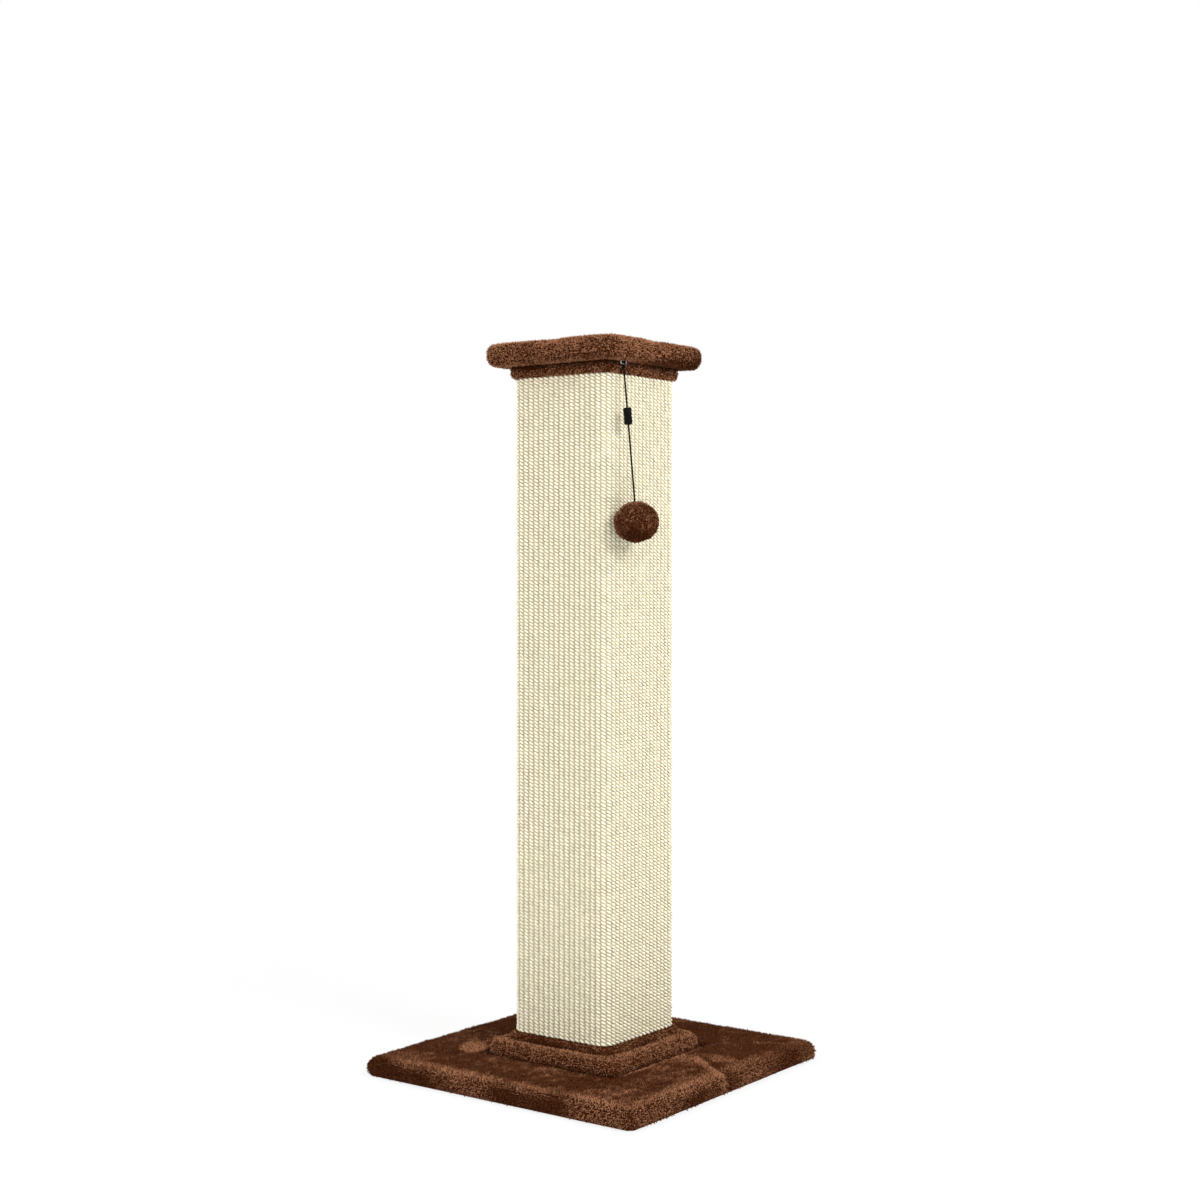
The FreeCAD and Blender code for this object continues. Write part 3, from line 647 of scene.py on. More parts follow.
def roll_round_corners(piece, corner):
    """Rolls both ends of a flat strip on the front of the post half way round its corners."""
    points = read_points(piece)
    flat = POST_HALF - corner
    side = np.sign(points[:, 0])
    along = np.abs(points[:, 0])
    turn = np.maximum(along - flat, 0) / corner
    reach = -points[:, 1] - flat
    points[:, 0] = side * (np.minimum(along, flat) + reach * np.sin(turn))
    points[:, 1] = -(flat + reach * np.cos(turn))
    write_points(piece, points)


def open_seam(piece, settings):
    """Draws the columns apart at the seam on the back, and presses their edges down."""
    points = read_points(piece)
    from_seam = points[:, 0] - settings.seam_side
    share = ease(1 - np.abs(from_seam) / settings.loop_length)
    points[:, 0] += np.sign(from_seam) * share * settings.seam_gap
    points[:, 1] -= share * settings.seam_gap
    write_points(piece, points)


def weave_sides(settings):
    """The four sides of loops, each rolled half way round its corners."""
    pitch = (POST_HALF - settings.corner + settings.corner * QUARTER / 2) * 2 / settings.columns
    row = POST_LENGTH / settings.rows
    loop = model_loop(settings)
    corners = len(loop.data.loops)
    vertices = len(loop.data.vertices)
    first_column = -pitch * (settings.columns - 1) / 2
    loop.location = (first_column, settings.loop_rise - POST_HALF, SISAL_LOW.z + row / 2)
    settle(loop)
    shape_with(loop, "ARRAY", count=settings.columns, use_relative_offset=False,
               use_constant_offset=True, constant_offset_displace=(pitch, 0, 0))
    shape_with(loop, "ARRAY", count=settings.rows, use_relative_offset=False,
               use_constant_offset=True, constant_offset_displace=(0, 0, row))
    roll_round_corners(loop, settings.corner)
    spread_map(loop, corners)
    own = np.random.default_rng(LOOP_SEED).random(settings.columns * settings.rows)
    write_attribute(loop, "own", np.repeat(own, vertices))
    sides = []
    for turn, side in enumerate(("front", "right", "back", "left")):
        weave = copy_of(loop, f"sisal_{side}")
        weave.rotation_euler.z = turn * QUARTER
        settle(weave)
        shape_with(weave, "DISPLACE", texture=clouds("yarn_wobble", settings.loop_length, True),
                   direction="RGB_TO_XYZ", strength=settings.wobble, texture_coords="LOCAL")
        if side == "back":
            open_seam(weave, settings)
        sides.append(weave)
    remove(loop)
    return sides


def upright(edge):
    """A test for edges that run up and down."""
    first, second = (vertex.co for vertex in edge.verts)
    run = second - first
    return abs(run.z) > abs(run.x) + abs(run.y)


def model_backing(settings):
    """The cloth behind the loops: a square tube with round corners."""
    deselect_all()
    bpy.ops.mesh.primitive_cube_add(size=1, location=(SISAL_LOW + SISAL_HIGH) / 2)
    cloth = name_new("sisal_backing")
    cloth_half = POST_HALF - settings.loop_rise
    cloth.scale = (2 * cloth_half, 2 * cloth_half, POST_LENGTH)
    settle(cloth)
    with editing(cloth):
        pick(cloth, "edges", upright)
        bpy.ops.mesh.bevel(offset=settings.corner - settings.loop_rise, segments=8, affect="EDGES")
        pick(cloth, "faces", lambda face: abs(face.normal.z) > 0.5)
        bpy.ops.mesh.delete(type="ONLY_FACE")
    shape_with(cloth, "SOLIDIFY", thickness=settings.backing, offset=-1)
    bpy.ops.object.shade_smooth_by_angle(angle=math.radians(40))
    return cloth


def weave_sisal(settings):
    """The sisal matting: four sides of loops and the cloth behind them."""
    finish = sisal_finish(settings)
    sides = weave_sides(settings)
    cloth = model_backing(settings)
    hand_over(cloth, STAND, "sisal", backing_finish(), "sisal_cover")
    for weave in sides:
        hand_over(weave, STAND, "sisal", finish)


# Plush

def model_cover(name, low, high, corner, top_round, floor_round, settings):
    """The cloth of a plush cover: a square slab with round corners and soft edges, evenly meshed."""
    deselect_all()
    bpy.ops.mesh.primitive_cube_add(size=1, location=(low + high) / 2)
    cover = name_new(name)
    cover.scale = high - low
    settle(cover)
    with editing(cover):
        pick(cover, "edges", upright)
        bpy.ops.mesh.bevel(offset=corner, segments=6, affect="EDGES")
        for level, radius in ((high.z, top_round), (low.z, floor_round)):
            pick(cover, "edges", lambda edge: all(
                abs(vertex.co.z - level) < settings.cloth for vertex in edge.verts))
            bpy.ops.mesh.bevel(offset=radius, segments=4, affect="EDGES")
    shape_with(cover, "REMESH", mode="VOXEL", voxel_size=settings.mesh_size)
    shape_with(cover, "SMOOTH", factor=0.5, iterations=2)
    return cover


def add_lumps(cover, strength, size):
    """Makes a cover uneven, as cloth over soft pile is."""
    shape_with(cover, "DISPLACE", texture=clouds(f"lumps_{size}", size), strength=strength,
               texture_coords="LOCAL", mid_level=0.5)


def swell_cover(cover, held, settings):
    """Swells a cover off its board by a short cloth simulation.

    The held points stay. The others move outwards only, and no further than the swell setting.
    """
    before = read_points(cover)
    normals = skin_normals(cover)
    group = cover.vertex_groups.new(name="held")
    group.add(np.flatnonzero(held).tolist(), 1.0, "REPLACE")
    modifier = cover.modifiers.new("Swell", "CLOTH")
    modifier.settings.use_pressure = True
    modifier.settings.uniform_pressure_force = settings.pressure
    modifier.settings.effector_weights.gravity = 0
    modifier.settings.vertex_group_mass = group.name
    modifier.collision_settings.use_collision = False
    modifier.point_cache.frame_start = 1
    modifier.point_cache.frame_end = settings.swell_frames
    for step in range(1, settings.swell_frames + 1):
        bpy.context.scene.frame_set(step)
    choose(cover)
    bpy.ops.object.modifier_apply(modifier=modifier.name)
    bpy.context.scene.frame_set(1)
    cover.vertex_groups.clear()
    outward = ((read_points(cover) - before) * normals).sum(axis=1, keepdims=True)
    write_points(cover, before + normals * np.clip(outward, 0, settings.swell))


def press_square(cover, half, level, ramp, upwards=False):
    """Presses a cover flat where a square piece meets it, with a soft slope round that piece."""
    points = read_points(cover)
    outside = square_reach(points) - half
    share = ease(1 - outside / ramp)
    over = points[:, 2] < level if upwards else points[:, 2] > level
    points[:, 2] += np.where(over, share * (level - points[:, 2]), 0)
    write_points(cover, points)


def square_reach(points):
    """How far points are from the axis of the post, measured square to its sides."""
    return np.abs(points[:, :2]).max(axis=1)


def from_crease(points, settings):
    """How far points are along the parting of the base plush, from 0 to 1, and to its +X side."""
    start = np.array(settings.crease_start)
    run = np.array(settings.crease_end) - start
    from_start = points[:, :2] - start
    along = from_start @ run / (run @ run)
    aside = from_start @ np.array((-run[1], run[0])) / np.linalg.norm(run)
    return along, aside


def part_plush(cover, settings):
    """Draws the parting of the base plush, from the foot pad to the front edge."""
    points = read_points(cover)
    along, aside = from_crease(points, settings)
    groove = ease(1 - np.abs(aside) / settings.crease_width) * ease(3 * along) * (along < 1)
    points[:, 2] -= np.where(points[:, 2] > BOARD_TOP, groove * settings.crease_depth, 0)
    write_points(cover, points)


def open_underside(cover, half, settings):
    """Cuts the window inside the turned-under plush and gives the cloth its thickness."""
    low = read_points(cover)[:, 2].min()

    def inside(face):
        middle = face.calc_center_median()
        return middle.z < low + settings.mesh_size / 2 and max(abs(middle.x), abs(middle.y)) < half
    with editing(cover):
        pick(cover, "faces", inside)
        bpy.ops.mesh.delete(type="FACE")
    shape_with(cover, "SOLIDIFY", thickness=settings.cloth, offset=-1)
    smooth(cover)


def model_locks(settings):
    """Three bent locks of pile, kept in a collection of their own."""
    shelf = bpy.data.collections.new("pile_locks")
    length = settings.lock_length
    middle = length / 2
    margin = length / 10
    for index, (bend, waist) in enumerate(((0.25, 1.25), (0.5, 1.1), (0.8, 1.0))):
        deselect_all()
        bpy.ops.mesh.primitive_cone_add(vertices=3, radius1=settings.lock_width / 2, depth=length,
                                        location=(0, 0, middle))
        lock = name_new(f"pile_lock_{index}")
        settle(lock)
        lean = bend * settings.lock_width
        with editing(lock):
            bpy.ops.mesh.select_all(action="SELECT")
            bpy.ops.mesh.bisect(plane_co=(0, 0, middle), plane_no=(0, 0, 1))
            pick(lock, "verts", lambda vertex: abs(vertex.co.z - middle) < margin)
            bpy.ops.transform.resize(value=(2 * waist, 2 * waist, 1))
            bpy.ops.transform.translate(value=(lean / 2, 0, 0))
            pick(lock, "verts", lambda vertex: vertex.co.z > middle + margin)
            bpy.ops.transform.translate(value=(lean * 2, 0, -lean / 2))
        # The tip value lets the plush darken the roots of the pile as painted shade.
        write_attribute(lock, "tip", np.clip(read_points(lock)[:, 2] / length, 0, 1))
        lay_out_map(lock)
        smooth(lock)
        for home in lock.users_collection:
            home.objects.unlink(lock)
        shelf.objects.link(lock)
    return shelf


def pile_nodes(locks):
    """Node group that plants locks on a skin, which lean with the nap and curl together in clumps."""
    tree = bpy.data.node_groups.new("plush_pile", "GeometryNodeTree")
    for name, kind in (("Skin", "Geometry"), ("Spacing", "Float"), ("Nap", "Vector"),
                       ("Swirl", "Float"), ("Curl", "Float"), ("Seed", "Int")):
        tree.interface.new_socket(name, in_out="INPUT", socket_type=f"NodeSocket{kind}")
    tree.interface.new_socket("Pile", in_out="OUTPUT", socket_type="NodeSocketGeometry")

    def vector(operation, first, second):
        inputs = {0: first, "Scale" if operation == "SCALE" else 1: second}
        result = "Value" if operation == "DOT_PRODUCT" else "Vector"
        return add_node(tree, "ShaderNodeVectorMath", inputs, operation=operation).outputs[result]

    def written(name):
        inputs = {"Name": name}
        return add_node(tree, "GeometryNodeInputNamedAttribute", inputs, data_type="FLOAT").outputs[0]

    given = add_node(tree, "NodeGroupInput").outputs
    plot = multiply(tree, given["Spacing"], given["Spacing"])
    crowd = add_node(tree, "ShaderNodeMath", {0: 1.0, 1: plot}, operation="DIVIDE").outputs[0]
    roots = add_node(tree, "GeometryNodeDistributePointsOnFaces", {
        "Mesh": given["Skin"], "Distance Min": multiply(tree, given["Spacing"], 0.62),
        "Density Max": crowd, "Density Factor": written("pile"), "Seed": given["Seed"],
    }, distribute_method="POISSON").outputs
    place = add_node(tree, "GeometryNodeInputPosition").outputs[0]
    brushed = written("nap")
    swirl = multiply(tree, given["Swirl"], spread_value(tree, brushed, 1.0, 2.6))
    curl = multiply(tree, given["Curl"], spread_value(tree, brushed, 1.0, 0.3))
    lean = given["Nap"]
    for scale, strength in ((13.0, swirl), (250.0, curl)):
        stray = add_node(tree, "ShaderNodeTexNoise", {"Vector": place, "Scale": scale}).outputs["Color"]
        stray = vector("SUBTRACT", stray, (0.5, 0.5, 0.5))
        lean = vector("ADD", lean, vector("SCALE", stray, strength))
    inward = vector("SCALE", roots["Normal"], vector("DOT_PRODUCT", lean, roots["Normal"]))
    aim = vector("ADD", roots["Normal"], vector("SUBTRACT", lean, inward))
    stand = add_node(tree, "FunctionNodeAlignRotationToVector", {"Vector": aim}, axis="Z").outputs[0]
    twist = add_node(tree, "FunctionNodeRandomValue", {1: (0, 0, math.tau), "Seed": given["Seed"]},
                     data_type="FLOAT_VECTOR").outputs[0]
    twist = add_node(tree, "FunctionNodeEulerToRotation", {0: twist}).outputs[0]
    turn = add_node(tree, "FunctionNodeRotateRotation", {0: stand, 1: twist},
                    rotation_space="LOCAL").outputs[0]
    size = add_node(tree, "FunctionNodeRandomValue", {2: 0.8, 3: 1.1}, data_type="FLOAT").outputs[1]
    clumps = add_node(tree, "ShaderNodeTexNoise", {"Vector": place, "Scale": 280.0}).outputs[0]
    size = multiply(tree, size, spread_value(tree, clumps, 0.75, 1.15, 0.3, 0.7))
    size = multiply(tree, size, written("tall"))
    shelf = add_node(tree, "GeometryNodeCollectionInfo", {
        "Collection": locks, "Separate Children": True, "Reset Children": True}).outputs[0]
    planted = add_node(tree, "GeometryNodeInstanceOnPoints", {
        "Points": roots["Points"], "Instance": shelf, "Pick Instance": True, "Rotation": turn,
        "Scale": size}).outputs[0]
    real = add_node(tree, "GeometryNodeRealizeInstances", {0: planted}).outputs[0]
    add_node(tree, "NodeGroupOutput", {0: real})
    return tree


def brush(skin, nap, tall):
    """Keeps how the pile of a skin lies, from -1 to 1, and how tall it is, for each vertex. On the pad,
    the bands, the perch and the ball the nap also carries painted light and shade, higher being darker.
    """
    write_attribute(skin, "nap", np.clip(nap, -1, 1))
    write_attribute(skin, "tall", np.zeros(len(nap)) + tall)


def grow_pile(skin, name, where, settings, seed, nap=(0, 0, -0.35), swirl=1.6, curl=2.4):
    """The pile on the chosen points of a skin, as a piece of its own that stays above the floor."""
    tree = bpy.data.node_groups.get("plush_pile") or pile_nodes(model_locks(settings))
    pile = copy_of(skin, name)
    write_attribute(pile, "pile", where)
    modifier = pile.modifiers.new("Pile", "NODES")
    modifier.node_group = tree
    values = {"Spacing": settings.spacing, "Nap": nap, "Swirl": swirl, "Curl": curl, "Seed": seed}
    for socket in tree.interface.items_tree:
        if socket.name in values:
            modifier[socket.identifier] = values[socket.name]
    choose(pile)
    bpy.ops.object.modifier_apply(modifier=modifier.name)
    points = read_points(pile)
    points[:, 2] = np.maximum(points[:, 2], settings.floor_gap)
    write_points(pile, points)
    spread_map(pile, LOCK_CORNERS)
    return pile


def skin_normals(skin):
    """The normals of a skin's vertices as an array."""
    normals = np.empty(len(skin.data.vertices) * 3, np.float32)
    skin.data.vertex_normals.foreach_get("vector", normals)
    return normals.reshape(-1, 3)


def spot(points, place, way, length, width):
    """A soft oval spot on the plan of the base: 1 in its middle, 0 outside it."""
    away = points[:, :2] - np.array(place)
    way = np.array(way) / np.hypot(*way)
    along = away @ way / length
    aside = away @ np.array((-way[1], way[0])) / width
    return ease(2 - 2 * np.hypot(along, aside))


def brush_strokes(points):
    """Thin strokes of a hand over the base plush, from 0 to 1."""
    across = points @ np.array((0.803, 0.596, 0)) * 26
    along = points @ np.array((0.596, -0.803, 0)) * 8
    bend = soft_noise(np.column_stack((across, along, 0 * along)), 1, 9)
    stroke_width = 0.06
    return np.exp(-(bend / stroke_width) ** 2) * ease(0.5 + 2.5 * soft_noise(points, 9, 21))


def rim_nap(points, rim):
    """Light and dark patches of the nap round the edge of the base, to add to the rest."""
    east, north, level = points.T
    low_side = rim * past(BOARD_TOP - level, -0.006, 0.007)
    left = rim * (east < north)
    right = rim * (east > north)
    right_end = (east > north) * past(east, 0.02, 0.05)
    patches = (
        (-0.7, left, near(north, 0.045, 0.040)),
        (1.3, left * low_side, near(north, -0.050, 0.045)),
        (-0.6, left, past(-north, 0.085, 0.03)),
        (0.8, left, past(north, 0.115, 0.05)),
        (0.9, left * low_side, past(north, 0.02, 0.06)),
        (-0.6, right * (1 - low_side), near(east, -0.105, 0.085)),
        (0.9, right * low_side, near(east, -0.055, 0.055)),
        (0.25, 1, right_end),
        (0.30, rim, right_end),
    )
    return sum(strength * part * share for strength, part, share in patches)


def crease_nap(points, settings):
    """The nap along the parting: light on its -X side and dark on the other."""
    along, aside = from_crease(points, settings)
    beside = ease(3 * along) * ease(8 * (1.08 - along))
    return beside * (0.35 * near(aside, 0.006, 0.006) - 0.7 * near(aside, -0.007, 0.006))


def base_nap(points, settings):
    """How the base plush lies: 1 brushed flat and dark, -1 standing and light."""
    east, north = points.T[:2]
    inner = past(BASE_HALF - square_reach(points), RIM_START, RIM_RUN)
    rim = 1 - inner
    tufts = 0.5 * soft_noise(points, 60, 17) + 0.6 * soft_noise(points, 130, 19)
    nap = inner * (0.76 + 0.08 * east / BASE_HALF + 0.8 * soft_noise(points, 14, 1) + tufts)
    nap -= rim * (0.1 + 0.8 * soft_noise(points, 22, 5))
    nap -= inner * (0.6 + 0.6 * past(east, 0, 0.05)) * brush_strokes(points)
    nap += rim_nap(points, rim) + crease_nap(points, settings)
    nap -= 0.8 * spot(points, (0.036, -0.130), (0.45, -0.9), 0.045, 0.028)
    nap -= 1.8 * spot(points, settings.patch_place, (0.80, 0.60), 0.030, 0.020)
    lip = near(north, -FOOT_HALF - 0.005, 0.003) * past(FOOT_HALF - np.abs(east), 0, 0.03)
    return nap - 1.2 * lip


def cover_base(settings):
    """Plush over the base: pressed by the foot pad, parted at the front, turned under at the floor."""
    low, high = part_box("base_plush")
    inset = Vector((settings.pile, settings.pile, 0))
    lift = Vector((0, 0, settings.pile))
    skin = model_cover("base_cover", low + inset, high - inset - lift,
                       settings.base_corner - settings.pile, settings.base_round, settings.cloth,
                       settings)
    add_lumps(skin, settings.lumps, 0.06)
    press_square(skin, FOOT_HALF, BOARD_TOP + settings.cloth, 2 * settings.pile)
    part_plush(skin, settings)
    points = read_points(skin)
    points[:, 2] = np.maximum(points[:, 2], settings.cloth / 2)
    write_points(skin, points)
    brush(skin, base_nap(points, settings), 0.85 + 0.15 * ease(points[:, 2] / BOARD_TOP))
    shown = (square_reach(points) > FOOT_HALF - settings.pile) & (skin_normals(skin)[:, 2] > -0.3)
    sector = np.floor(np.arctan2(points[:, 1], points[:, 0]) * BASE_SECTORS / math.tau) % BASE_SECTORS
    finish = plush_finish(settings, "base_plush", 1.0, 0.5)
    for index in range(BASE_SECTORS):
        pile = grow_pile(skin, f"base_pile_{index + 1}", shown & (sector == index), settings,
                         seed=11 + index, curl=1.3)
        hand_over(pile, STAND, "brown_plush", finish)
    open_underside(skin, high.x - settings.base_fold, settings)
    hand_over(skin, STAND, "brown_plush", finish, "base_plush")


def cover_foot_pad(settings):
    """Plush over the foot pad, pressed in the middle by the post."""
    low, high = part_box("foot_pad_plush")
    inset = Vector((settings.pile, settings.pile, 0))
    lift = Vector((0, 0, settings.pile * 0.3 + settings.swell * 0.6))
    skin = model_cover("foot_pad_cover", low + inset, high - inset - lift,
                       settings.pad_corner - settings.pile, settings.pad_round, settings.cap_round,
                       settings)
    swell_cover(skin, read_points(skin)[:, 2] < low.z + settings.cap_round, settings)
    add_lumps(skin, settings.lumps, 0.03)
    press_square(skin, CAP_HALF - settings.pile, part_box("lower_cap_plush")[0].z, settings.cloth)
    points = read_points(skin)
    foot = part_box("base_plush")[1].z - settings.pile
    # Painted shade and light: the nap makes the pad darker towards its foot by the base and lighter
    # towards its top.
    rise = ease((points[:, 2] - foot) / (high.z - foot) * 2.2)
    brush(skin, 1.05 - 1.9 * rise + 0.6 * soft_noise(points, 35, 7), 0.8)
    shown = (square_reach(points) > CAP_HALF - settings.pile) & (skin_normals(skin)[:, 2] > -0.45)
    finish = plush_finish(settings, "pad_plush", 1.4)
    pile = grow_pile(skin, "foot_pad_pile", shown, settings, seed=21, swirl=1.0, curl=2.0)
    open_underside(skin, high.x - settings.pad_fold, settings)
    hand_over(skin, STAND, "brown_plush", finish, "foot_pad_plush")
    hand_over(pile, STAND, "brown_plush", finish)


def cover_caps(settings):
    """The plush bands at both ends of the post."""
    finish = plush_finish(settings, "band_plush", 1.75)
    for index, place in enumerate(("lower", "upper")):
        low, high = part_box(f"{place}_cap_plush")
        inset = Vector((settings.pile, settings.pile, settings.cloth)) * 0.8
        skin = model_cover(f"{place}_cap_cover", low + inset, high - inset,
                           settings.cap_corner - settings.pile, settings.cap_round, settings.cap_round,
                           settings)
        points = read_points(skin)
        rise = (points[:, 2] - low.z) / (high.z - low.z)
        # Painted shade: the lower band is darker towards its foot by the pad, the upper band darker
        # towards its top under the perch.
        if place == "lower":
            shaded = 0.6 * ease(2 - 2 * rise)
        else:
            shaded = 1.2 * ease(2.5 * rise - 0.9) - 0.25
        brush(skin, 0.7 * soft_noise(points, 30, 9) - 0.2 + shaded, 0.75)
        shown = square_reach(points) > POST_HALF - settings.cloth
        pile = grow_pile(skin, f"{place}_cap_pile", shown, settings,
                         seed=31 + index, swirl=1.0, curl=2.0)
        smooth(skin)
        hand_over(skin, STAND, "brown_plush", finish, f"{place}_cap_plush")
        hand_over(pile, STAND, "brown_plush", finish)


def cover_perch(settings):
    """Plush over the perch, turned under it and pressed up by the post."""
    low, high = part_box("perch_plush")
    inset = Vector((settings.pile, settings.pile, settings.pile + settings.swell)) * 0.6
    skin = model_cover("perch_cover", low + inset, high - inset, settings.pad_corner - settings.pile,
                       settings.pad_round, settings.pad_round * 0.8, settings)
    points = read_points(skin)
    on_post = (square_reach(points) < POST_HALF) & (points[:, 2] < (low.z + high.z) / 2)
    swell_cover(skin, on_post, settings)
    add_lumps(skin, settings.lumps, 0.05)
    press_square(skin, CAP_HALF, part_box("upper_cap_plush")[1].z, 2 * settings.pile, upwards=True)
    points = read_points(skin)
    normals = skin_normals(skin)
    inner = past(FOOT_HALF - square_reach(points), 0.014, 0.03) * (normals[:, 2] > 0.8)
    right = (points[:, 0] > points[:, 1]) * past(points[:, 0], -FOOT_HALF / 2, FOOT_HALF)
    # Painted shade: the nap is darker on the underside of the perch and round its lower edge; it is also
    # darker in the middle of the top and on the right side.
    under = past(low.z - points[:, 2], -0.009, 0.006)
    brush(skin, 0.9 * soft_noise(points, 26, 3) - 0.6 + 0.8 * inner + 0.85 * right + 0.8 * under, 0.9)
    staple = (STAPLE_LOW + STAPLE_HIGH) / 2
    bare = 0.4 * (STAPLE_HIGH.x - STAPLE_LOW.x)
    below = normals[:, 2] < -0.7
    hidden = below & (square_reach(points) < CAP_HALF - settings.pile)
    by_staple = below & (np.hypot(points[:, 0] - staple.x, points[:, 1] - staple.y) < bare)
    finish = plush_finish(settings, "perch_plush", 1.8)
    piles = []
    for name, upper in (("perch_pile_top", True), ("perch_pile_edge", False)):
        shown = ~(hidden | by_staple) & ((normals[:, 2] > 0.9) == upper)
        pile = grow_pile(skin, name, shown, settings, seed=41 + len(piles), nap=(0, 0, 0.2))
        hand_over(pile, STAND, "brown_plush", finish)
        piles.append(pile)
    open_underside(skin, high.x - settings.pad_fold, settings)
    hand_over(skin, STAND, "brown_plush", finish, "perch_plush")


def lay_felt(settings):
    """The felt sheet that closes the underside of the base, with holes for the bolts."""
    low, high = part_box("base_felt")
    deselect_all()
    bpy.ops.mesh.primitive_plane_add(size=high.x - low.x, location=(0, 0, high.z))
    felt = name_new("felt_sheet")
    settle(felt)
    with editing(felt):
        bpy.ops.mesh.select_all(action="SELECT")
        bpy.ops.mesh.subdivide(number_cuts=40)
    shape_with(felt, "SOLIDIFY", thickness=high.z - low.z - settings.floor_gap, offset=-1)
    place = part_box("base_washers")[1].x - WASHER_RADIUS
    for east, north in ((-1, -1), (1, -1), (1, 1), (-1, 1)):
        deselect_all()
        bpy.ops.mesh.primitive_cylinder_add(vertices=40, radius=WASHER_RADIUS * 1.1, depth=4 * high.z,
                                            location=(east * place, north * place, high.z / 2))
        punch = name_new("felt_punch")
        shape_with(felt, "BOOLEAN", object=punch, operation="DIFFERENCE", solver="EXACT")
        remove(punch)
    hand_over(felt, STAND, "underside_felt", felt_finish(), "base_felt")


# Toy

def toy_line():
    """The staple's middle, which the string leaves, and the direction of the hanging string."""
    anchor = Vector(((STAPLE_LOW.x + STAPLE_HIGH.x) / 2, (STAPLE_LOW.y + STAPLE_HIGH.y) / 2,
                     STAPLE_LOW.z + (STAPLE_HIGH.y - STAPLE_LOW.y) / 2))
    return anchor, (BALL_MIDDLE - anchor).normalized()


def model_tube(name, places, radius, order, detail, closed=False):
    """A smooth tube through places, as a curve."""
    curve = bpy.data.curves.new(name, "CURVE")
    curve.dimensions = "3D"
    curve.bevel_depth = radius
    curve.bevel_resolution = detail
    curve.use_fill_caps = True
    spline = curve.splines.new("NURBS")
    spline.points.add(len(places) - 1)
    for point, place in zip(spline.points, places):
        point.co = (*place, 1)
    spline.order_u = order
    spline.use_cyclic_u = closed
    spline.use_endpoint_u = not closed
    tube = bpy.data.objects.new(name, curve)
    bpy.context.scene.collection.objects.link(tube)
    return tube


def hang_string(settings):
    """The straight string from the knot under the staple to the middle of the ball."""
    anchor, down = toy_line()
    start = anchor + down * STRING_DROP
    end = BALL_MIDDLE - down * settings.string_width
    lead = down * 6 * settings.string_width
    route = (start, start + lead, (start + end) / 2, end - lead, end)
    string = model_tube("toy_string", route, settings.string_width / 2, order=3, detail=4)
    hand_over(string, "toy_line", "black_cord", string_finish(settings), "toy_cord")
    return string, start, (end - start).length


def tie_loop(settings):
    """The loop of string round the staple, and the overhand knot with its tail under it."""
    anchor, down = toy_line()
    side = Vector((1, 0, 0))
    out = side.cross(down).normalized()
    radius = settings.string_width / 2
    ring_radius = 1.9 * radius
    ring = []
    for step in range(10):
        turn = math.tau * step / 10
        ring.append(anchor + (out * math.cos(turn) + down * math.sin(turn)) * ring_radius * 1.15)
    middle = anchor + down * KNOT_DROP
    knot = []
    for step in range(18):
        turn = math.tau * step / 18
        spread = 0.45 * (2 + math.cos(3 * turn))
        away = (side * math.cos(2 * turn) + out * math.sin(2 * turn)) * radius * spread * 0.9
        knot.append(middle + away + down * radius * 0.9 * math.sin(3 * turn))
    tail = (middle, middle + out * 0.002 + side * 0.001, middle + out * 0.004 + down * 0.003,
            middle + out * 0.0045 + down * 0.007)
    tubes = []
    for name, places, share, closed in (
            ("string_loop", ring, 0.92, True), ("string_knot", knot, 0.8, True),
            ("string_tail", tail, 0.8, False)):
        choose(model_tube(name, places, radius * share, order=4, detail=3, closed=closed))
        bpy.ops.object.convert(target="MESH")
        tubes.append(bpy.context.active_object)
    loop = tubes[0]
    choose(loop)
    for tube in tubes[1:]:
        tube.select_set(True)
    bpy.ops.object.join()
    smooth(loop)
    hand_over(loop, "toy_hanger", "black_cord", string_finish(settings), "cord_loop")
    return loop


def lean_on_string(piece, place):
    """Turns an upright piece along the string, puts it in its place and settles it."""
    piece.rotation_mode = "QUATERNION"
    piece.rotation_quaternion = (-toy_line()[1]).to_track_quat("Z", "Y")
    piece.location = place
    settle(piece)


def fit_sleeve(settings):
    """The black plastic barrel on the string: two halves that meet at a groove."""
    low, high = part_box("cord_sleeve")
    radius = (high.x - low.x) / 2
    groove, shoulder = 0.0004, 0.0009

    def at_end(face):
        return abs(face.normal.z) > 0.9 and abs(face.calc_center_median().z) > SLEEVE_HALF / 2

    def round_end(edge):
        return all(abs(abs(vertex.co.z) - SLEEVE_HALF) < 1e-5 and vertex.co.xy.length > radius * 0.9
                   for vertex in edge.verts)

    deselect_all()
    bpy.ops.mesh.primitive_cylinder_add(vertices=32, radius=radius, depth=2 * SLEEVE_HALF)
    sleeve = name_new("string_sleeve")
    with editing(sleeve):
        for level in (-shoulder, -groove, groove, shoulder):
            bpy.ops.mesh.select_all(action="SELECT")
            bpy.ops.mesh.bisect(plane_co=(0, 0, level), plane_no=(0, 0, 1))
        pick(sleeve, "verts", lambda vertex: abs(vertex.co.z) < (groove + shoulder) / 2)
        bpy.ops.transform.resize(value=(0.86, 0.86, 1))
        pick(sleeve, "faces", at_end)
        bpy.ops.mesh.inset(thickness=radius * 0.55)
        bpy.ops.transform.resize(value=(1, 1, 0.97))
        pick(sleeve, "edges", round_end)
        bpy.ops.mesh.bevel(offset=0.0013, segments=3, affect="EDGES")
    lean_on_string(sleeve, (low + high) / 2)
    bpy.ops.object.shade_smooth_by_angle(angle=math.radians(35))
    hand_over(sleeve, "toy_line", "black_plastic", plastic_finish(settings), "cord_sleeve")
    return sleeve


